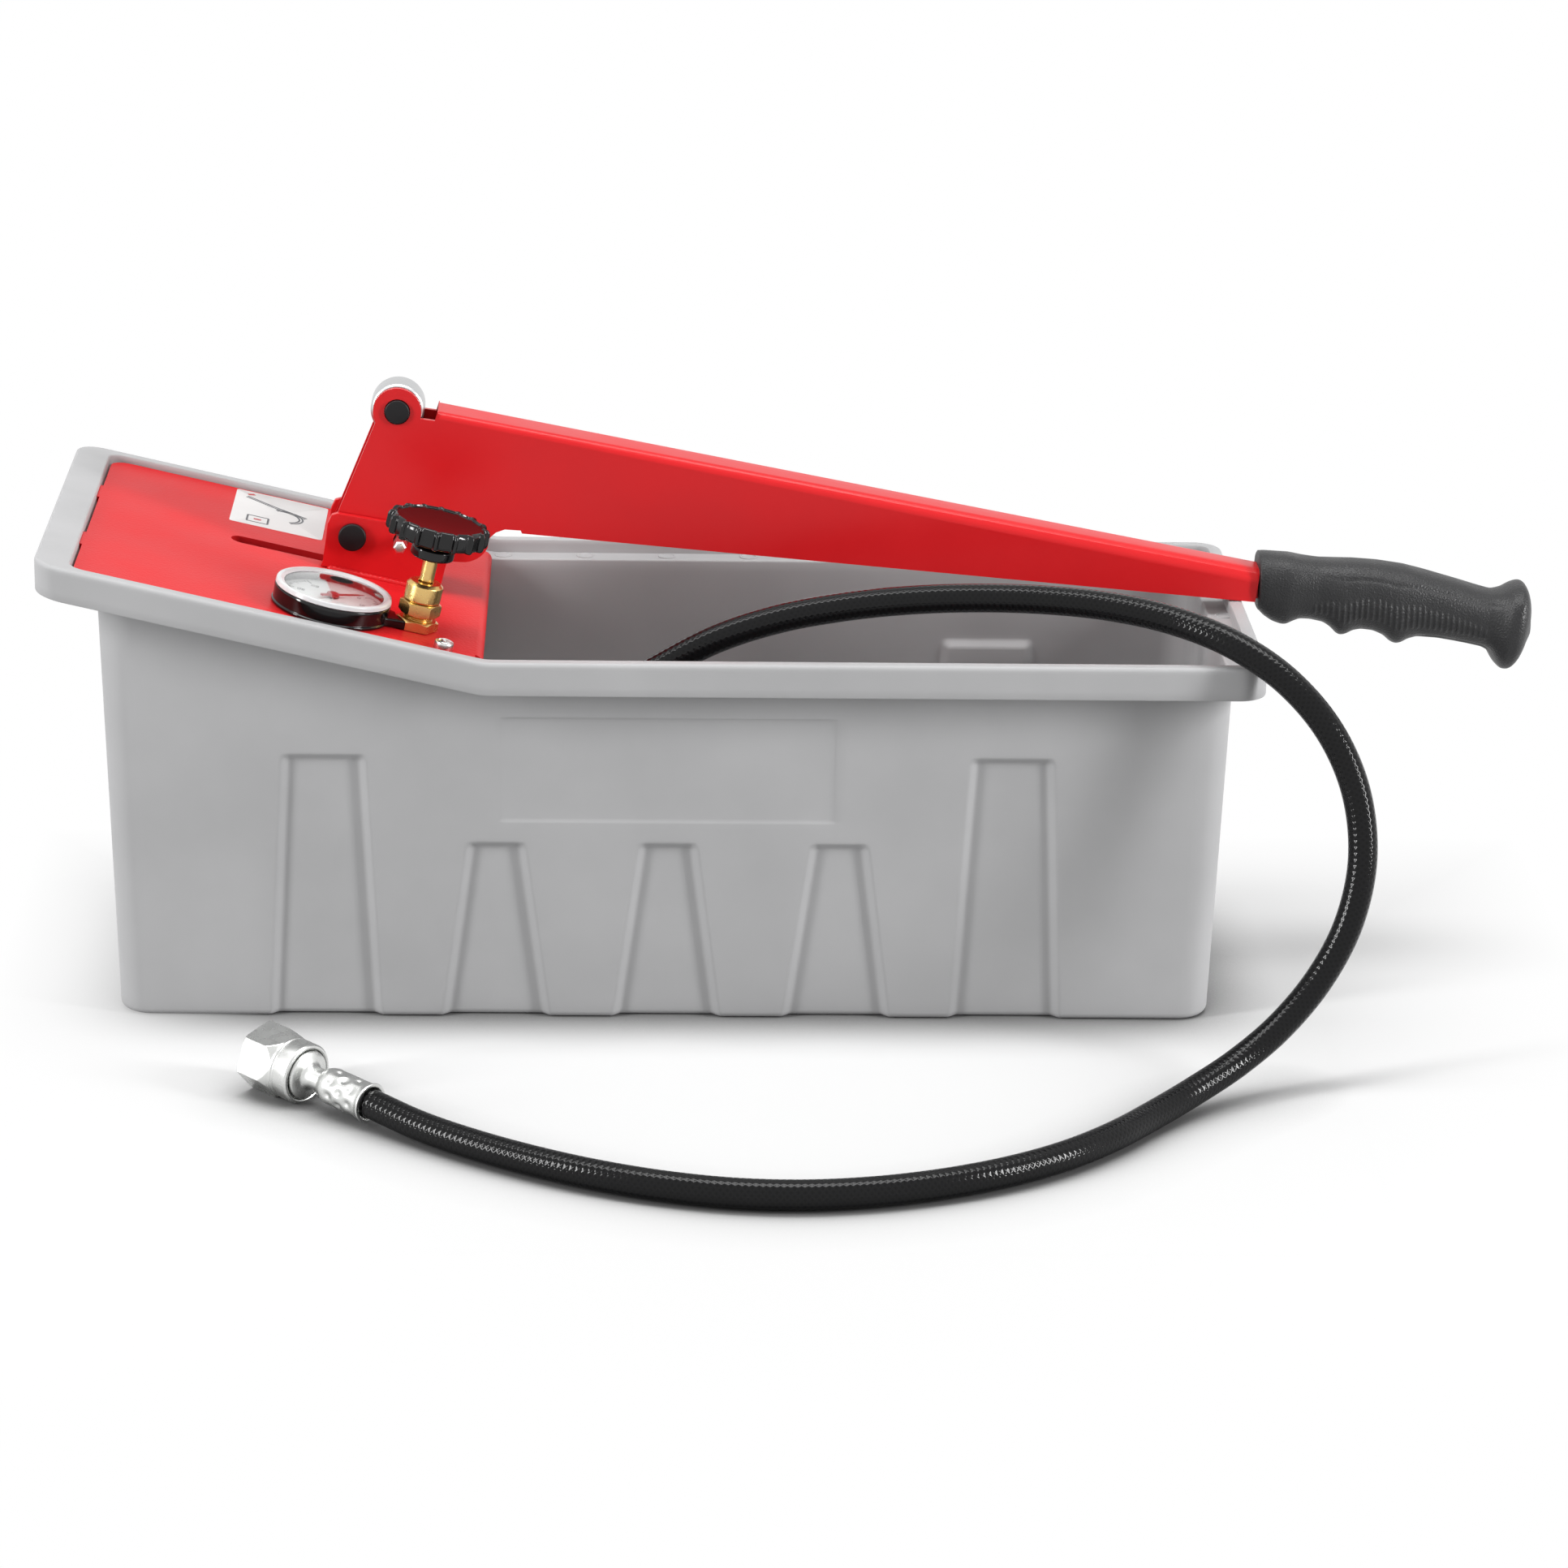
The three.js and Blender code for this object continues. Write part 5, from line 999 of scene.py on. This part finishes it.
# numbers: strokes of a seven-bar digit, each 1.1 mm wide and 2 mm tall
BARS = np.array(
    [[0, 2, 1.1, 2], [1.1, 1, 1.1, 2], [1.1, 0, 1.1, 1], [0, 0, 1.1, 0], [0, 0, 0, 1], [0, 1, 0, 2], [0, 1, 1.1, 1]]
)
DIGITS = {"0": "012345", "1": "12", "2": "01643", "3": "01623", "4": "5612", "5": "05623", "6": "054326"}
# a number's right and up on the dial: down is the middle of the gap between the scale's two ends
gap = REST_TURN + math.radians((360 - SCALE_DEGREES) / 2)
reading = np.array([[-math.sin(gap), math.cos(gap)], [-math.cos(gap), -math.sin(gap)]])
strokes = []
for value in range(7):
    text = str(value * 10)
    middle = 13.2 * pointing(REST_TURN - math.radians(SCALE_DEGREES * value / 6))
    width = 1.1 * len(text) + 0.6 * (len(text) - 1)
    for i, digit in enumerate(text):
        shift = np.array([i * 1.7 - width / 2, -1.0])
        bars = BARS[[int(k) for k in DIGITS[digit]]] + np.tile(shift, 2)
        strokes.append(bars @ np.kron(np.eye(2), reading) + np.tile(middle, 2))
points, faces = flat_bars(np.vstack(strokes), 0.13)
make_piece("gauge_numbers", points, dial_ink, matrix=gauge_frame, faces=faces)

# %% [markdown]
# The pointer is a thin tapered blade with a hub, and it rides on its own body so that it can turn. The lens over it
# is a shallow clear dome. Its raised rim has a whitish, half clear finish: painted light for the light a thick rim
# gathers.

# %% Pointer and lens
pointer_red = new_finish("red pointer enamel", "pointer_red", "#B3161A", 0.32, (2, 2, 0.26, 0.4))
along = np.linspace(-6, 15.8, 40)[:, None]
half = np.where(along < 2, 1.15 - 0.05 * (along + 6), 0.75 - 0.045 * (along - 2))
half = np.maximum(half, 0.14) * np.sqrt(np.clip(np.minimum(along + 6.01, 15.81 - along) / 0.5, 0.02, 1))
section = np.array([[-1, 0.0], [-0.8, 0.5], [0.8, 0.5], [1, 0.0], [0.8, -0.1], [-0.8, -0.1]])
across_needle, above = section.T
blade = np.stack([along + 0 * above, half * across_needle, 3.05 + above * np.clip(half / 0.3, 0, 1)], -1)
c, s = pointing(REST_TURN)
needle_frame = gauge_frame @ frame_at([0, 0, 0], [c, s, 0], [-s, c, 0], [0, 0, 1])
make_piece("pointer_blade", blade, pointer_red, "gauge_pointer", "gauge_pointer", needle_frame)
hub = [(0, 1.5, 0), (1.0, 1.5, 0), (1.0, 2.9, 0), (2.6, 2.9, 0.2), (2.6, 4.0, 0.4), (0, 4.2, 0)]
make_piece("pointer_hub", turned(hub, 48), pointer_red, "gauge_pointer", matrix=gauge_frame)

clear = {"Transmission_Weight": 1.0, "IOR": 1.49, "Specular_IOR_Level": 0.5}
lens_clear = new_finish("clear acrylic lens", "lens_clear", "#F6F8F9", 0.03, **clear)
# handling scratches, so fine that they only blur the highlights
feed(lens_clear, spread(lens_clear, grain(lens_clear, 1.2, 4), 0.45, 0.75, 0.015, 0.09), "Roughness")
LENS_RADIUS, LENS_RISE, LENS_FACE, LENS_BACK = 20.6, 1.9, 6.5, 5.1
r = np.linspace(0, LENS_RADIUS, 18)
rise = LENS_RISE * (1 - (r / LENS_RADIUS) ** 2)
dome = np.vstack([np.column_stack([r, LENS_FACE + rise]), np.column_stack([r, LENS_BACK + rise])[::-1]])
make_piece("gauge_lens_clear", turned(dome, 144), lens_clear, "root", "gauge_lens", gauge_frame, 50)
rim_drift = (3, 3, 0.1, 0.26)
# painted light: a pale, half clear finish on the rim stands in for the light that it gathers
rim_painted_pale = new_finish(
    "lens rim painted pale as if lit", "lens_clear", "#F1F2F3", 0.16, rim_drift, Transmission_Weight=0.45, IOR=1.49
)
rim = [
    (20.7, 5.3, 0), (20.7, 6.5, 0.1), (21.4, 6.75, 0.3), (22.3, 7.35, 0.4), (23.9, 7.3, 0.7), (24.2, 5.3, 0.3),
    (20.7, 5.3, 0),
]
make_piece("gauge_lens_rim", turned(rim, 144), rim_painted_pale, matrix=gauge_frame, sharp=50)

# %% [markdown]
# The valve is turned and milled brass. A hexagon's chamfered corners are where a cone cuts it: at each turn the
# radius is the smaller of the hexagon's and the cone's. Between the two hexagons runs a short neck of fine thread.

# %% Valve body
valve_frame = on_deck(-29.7, -58.0)
COS30 = math.cos(math.pi / 6)


def hexagon(corner_radius, turn):
    """Radius of a hexagon at each turn."""
    return corner_radius * COS30 / np.cos(turn % (np.pi / 3) - np.pi / 6)


def hexagon_with_cones(corner_radius, low, high, chamfered_foot=True):
    """Radius at each turn and height: the hexagon's, or the cone's r = R - h / tan 30 where that is less."""
    turn = circle(96)
    depth = np.r_[0, np.linspace(0, 1.008, 9), (high - low) / 2]
    heights = np.r_[low + depth, (high - depth[:-1])[::-1]][:, None]
    near = np.minimum(heights - low, high - heights) if chamfered_foot else high - heights
    radius = np.minimum(hexagon(corner_radius, turn), corner_radius * COS30 * 0.985 + near / math.tan(math.radians(30)))
    radius[[0, -1]] = 0.0
    return rounds(radius, heights, turn)


def threaded(core, crest, low, high, pitch=0.7):
    """Grooves round a neck: radius core + (crest - core) |sin|, fine enough to read as a thread."""
    h = np.linspace(low, high, int((high - low) / pitch * 10) + 2)
    r = core + (crest - core) * np.abs(np.sin(np.pi * (h - low) / pitch)) ** 0.7
    return np.vstack([[0, low], np.column_stack([r, h]), [0, high]])


base, body = hexagon_with_cones(9.0, -2.5, 1.5, False), hexagon_with_cones(8.7, 3.5, 9.0)
make_piece("valve_base_hexagon", base, brass, "root", "valve_body", valve_frame, 20)
make_piece("valve_neck_thread", turned(threaded(5.5, 6.1, 1.4, 3.6), 72), brass, matrix=valve_frame)
make_piece("valve_body_hexagon", body, brass, matrix=valve_frame, sharp=20)
shank = [(0, -16, 0), (6, -16, 0.8), (6, -2.4, 0), (0, -2.4, 0)]
make_piece("valve_shank", turned(shank), brass, matrix=valve_frame)
gland = [
    (3.1, 9.3, 0), (7.3, 9.3, 0.2), (7.6, 9.9, 0.2), (7.6, 16.2, 0.25), (6.2, 17.5, 0.2), (3.3, 17.5, 0.25),
    (3.1, 16.5, 0.2), (3.1, 9.3, 0),
]
make_piece("valve_gland_turned", turned(gland, 96), brass, "root", "valve_gland", valve_frame)
spindle = [(0, -13.4, 0), (2.8, -12, 0.2), (2.8, 17.8, 0), (3.02, 18.2, 0.1), (3.02, 35.4, 0.5), (0, 36, 0)]
make_piece("valve_spindle_turned", turned(spindle), brass, "valve_spindle", "valve_spindle", valve_frame)

# %% [markdown]
# The knob is a gloss black phenolic moulding: sixteen flat hollows for the fingers with narrow ridges between, a
# raised edge round a shallow dish, and a hub with its own collar. Every ridge keeps a bright line because its
# corners are rounded, so the hollows are made of smooth steps, not of facets.

# %% Knob
HOLLOWS, HOLLOW_DEPTH = 16, 1.9
turn = circle(HOLLOWS * 32)
phase = (turn * HOLLOWS / (2 * np.pi)) % 1.0
hollow = ramp((0.5 - np.abs(phase - 0.5) - 0.075) / 0.075, 0.3)
knob = eased_profile([
    (0, 36.0, 0), (15.5, 36.0, 0.8), (17.2, 36.4, 0.6), (20.6, 36.4, 0.9), (21.3, 37.6, 0.8), (21.3, 43.0, 1.0),
    (20.2, 44.4, 0.7), (18.9, 44.5, 0.5), (17.8, 43.7, 0.8), (0, 43.4, 0),
])
r, h = knob[:, :1], knob[:, 1:]
radius = r - HOLLOW_DEPTH * np.clip((r - 17.5) / 2.4, 0, 1) * hollow
fluted = rounds(radius, h, turn)
make_piece("valve_knob_fluted", fluted, gloss_black, "valve_knob", "valve_knob", valve_frame, 60, slot="knob_black")
collar = [
    (3.1, 28, 0), (7.9, 28, 0.4), (8.95, 28.7, 0.5), (8.95, 32.4, 0.5), (7.6, 33.2, 0.4), (6.4, 33.6, 0.8),
    (6.4, 36.2, 0), (3.1, 36.2, 0), (3.1, 28, 0),
]
make_piece("valve_knob_hub", turned(collar, 96), gloss_black, "valve_knob", matrix=valve_frame, slot="knob_black")

# %% [markdown]
# The hose ends in a crimped sleeve, a flanged nipple and a swivel nut, all bright zinc. The crimping jaws leave three
# rows of dimples round the sleeve, set off from row to row.

# %% Sleeve and nipple
ahead = unit(hose_route[-1] - hose_route[-2])
turn_axis = np.cross([0, 0, 1], ahead)
skew = np.cross(np.eye(3), turn_axis)
end_frame = np.eye(4)
end_frame[:3, :3] = np.eye(3) + skew + skew @ skew / (1 + ahead[2])
end_frame[:3, 3] = hose_route[-1]
sleeve = eased_profile([
    (6.15, 4.0, 0), (6.4, 0.9, 0.3), (6.9, 0.35, 0.2), (8.1, 0.35, 0.3), (8.25, 1.0, 0.4), (7.6, 2.4, 0.8),
    (7.5, 22.0, 2.0), (6.3, 25.0, 1.0), (5.1, 25.0, 0), (5.1, 24.0, 0), (6.15, 22.5, 0), (6.15, 4.0, 0),
])
sleeve = refined(sleeve, 0.35)
DIMPLES, DIMPLE_DEPTH, DIMPLE_LENGTH = 8, 0.85, 1.75
turn = circle(160)
r, h = sleeve[:, :1], sleeve[:, 1:]
dimples = 0 * r * turn
for row, place in enumerate((6.6, 12.0, 17.4)):
    round_it = (0.5 + 0.5 * np.cos(DIMPLES * turn + np.pi * row)) ** 1.6
    dimples += np.exp(-(((h - place) / DIMPLE_LENGTH) ** 2)) * round_it
crimped = rounds(r - DIMPLE_DEPTH * dimples * (r > 7.0), h, turn)
make_piece("crimped_sleeve", crimped, zinc, "root", "outer_ferrule", end_frame, 60)
nipple = [
    (0, 22.6, 0), (4.8, 22.6, 0), (4.8, 31.0, 1.6), (5.6, 33.4, 1.0), (8.6, 34.3, 0.8), (9.9, 34.9, 0.4),
    (10.1, 36.3, 0.3), (8.9, 36.7, 0.2), (4.6, 36.7, 0), (4.6, 41.9, 0), (8.7, 41.9, 0.3), (8.7, 45.4, 0.5),
    (3.0, 45.7, 0), (0, 45.7, 0),
]
make_piece("flanged_nipple", turned(nipple, 96), zinc, "root", "hose_nipple", end_frame)

# %% [markdown]
# The nut's rows are a turned collar at the hose's side, the hexagon cut by a cone at each end, and the bored and
# threaded inside. It turns freely, and rests as in the photograph, 35 degrees round.

# %% Nut
NUT_CORNER, NUT_END, NUT_REST = 14.43, 61.7, math.radians(35)
THREAD_CORE, THREAD_DEPTH, THREAD_PITCH = 9.35, 0.55, 1.8
turn = circle(288)
collar = eased_profile([
    (5.1, 37.3, 0), (10.4, 37.3, 0.3), (10.6, 36.0, 0.3), (11.1, 35.7, 0.2), (12.0, 35.75, 0.3), (12.5, 36.6, 0.3),
    (12.5, 42.9, 0.2), (12.05, 43.3, 0.15), (12.05, 44.1, 0.15), (12.5, 44.5, 0.2), (12.5, 45.3, 0),
])
h = np.r_[np.linspace(45.5, 50.2, 14), 53, 56, 59, np.linspace(60.6, NUT_END, 6)]
cone = np.minimum(12.5 + 0.45 * (h - 45.4), 13.6 + (NUT_END - h) / math.tan(math.radians(32)))
outside = np.minimum(hexagon(NUT_CORNER, turn - NUT_REST), cone[:, None])
thread_h = np.linspace(60.9, 41.9, 110)
thread_r = THREAD_CORE + THREAD_DEPTH * np.abs(np.sin(np.pi * thread_h / THREAD_PITCH))
thread = np.column_stack([thread_r, thread_h])
inside = np.vstack([[[10.5, NUT_END], [9.95, 61.2]], thread, [[9.3, 41.4], [5.1, 41.4], [5.1, 37.3]]])
radius = np.vstack([collar[:, :1] + 0 * turn, outside, inside[:, :1] + 0 * turn])
nut = rounds(radius, np.r_[collar[:, 1], h, inside[:, 1]][:, None], turn)
make_piece("swivel_nut_milled", nut, zinc, "swivel_nut", "swivel_nut", end_frame, 25)

# %% [markdown]
# The plate carries a white film label with a plain line drawing of a lever over a curved pipe, and no words. The
# tank's ledge carries the faint round marks of the mould's ejector pins.

# %% Label and ejector marks
label_white = new_finish("white film label", "", "#D9D7D6", 0.34, (7, 3, 0.28, 0.42), Specular_IOR_Level=0.3)
label_grey = new_finish("grey label ink", "", "#55565A", 0.5, (2, 2, 0.42, 0.58))
label_frame = on_deck(-94.4, 62.0, -2.8)
film = []
for share, inset, height in ((0, 0, -0.2), (1, 0, -0.2), (1, 0, 0.1), (1, 0.06, 0.14), (0, 0, 0.14)):
    x, y = rounded_rectangle(20.2 - inset, 25.2 - inset, 1.6 - inset, 8)
    film.append(np.column_stack([share * x, share * y, height + 0 * x]))
make_piece("label_film", np.array(film), label_white, matrix=label_frame)


def joined_line(spots):
    """Neighbouring places in a row joined pair by pair."""
    spots = np.array(spots, float)
    return np.hstack([spots[:-1], spots[1:]])


PIPE_MIDDLE = np.array([1.5, -3.0])
pipe = 9.0 * pointing(np.linspace(-0.35, 0.62, 16) * np.pi)
lines = [
    joined_line([[-15, 17], [-2, 9], [12, 2]]),
    joined_line([[-15.6, 15.6], [-2.6, 7.6], [11.4, 0.6]]),
    joined_line(PIPE_MIDDLE + pipe),
    joined_line(PIPE_MIDDLE + 0.84 * pipe),
    joined_line([[-13, -20], [-13, -11], [-4, -11], [-4, -20], [-13, -20]]),
]
points, faces = flat_bars(np.vstack(lines), 0.42, 0.12, 0.2)
make_piece("label_drawing", points, label_grey, matrix=label_frame, faces=faces)
points, faces = flat_bars(np.array([[-15.0, 19.6, -12.2, 21.4], [-10.2, -15.5, -7.0, -15.5]]), 0.9, 0.12, 0.2)
make_piece("label_red_marks", points, pointer_red, matrix=label_frame, faces=faces, slot="")

mark = [(0, -0.4, 0), (3.9, -0.4, 0), (3.8, 0.38, 0.1), (3.2, 0.38, 0.1), (3.0, 0.04, 0.1), (0, 0.04, 0)]
places = [(x, y) for y in (84.5, -84.5) for x in np.arange(-65.2, 220, 35.8)] + [(241.9, 0.0)]
points, faces = joined([turned(mark, 40) + [x, y, RIM - LEDGE_DROP] for x, y in places])
make_piece("ejector_marks", points, tank_finish, faces=faces)

# %% [markdown]
# The pieces under the plate keep the model's own shapes. Each gets the finish of what it is made of.

# %% Finishes under the plate
seal_black = new_finish("black seal rubber", "seal_rubber", "#151515", 0.6, (2, 3, 0.52, 0.68))
bumped(seal_black, grain(seal_black, 0.6, 2), 0.01, 0.5)
brass_pieces = "piston gland_nut cylinder_tube cylinder_base swivel_housing delivery_pipe manifold_block"
kept_pieces = [
    (brass, brass_pieces), (seal_black, "piston_seal"), (grip_black, "suction_pipe suction_strainer"),
    (turned_steel, "front_trunnion rear_trunnion outlet_nipple"), (lever_red, "front_hanger rear_hanger"),
    (zinc, "inner_ferrule"),
]
for finish, names in kept_pieces:
    for name in names.split():
        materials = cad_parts[name].data.materials
        materials.clear()
        materials.append(finish)
    print(finish.name, "on", names)

# %% [markdown]

# %% [markdown]
# Last, the colours are shown through the Standard view transform. The visual model must stay inside the box of the
# imported one.

# %% View transform
bpy.context.scene.view_settings.view_transform = "Standard"
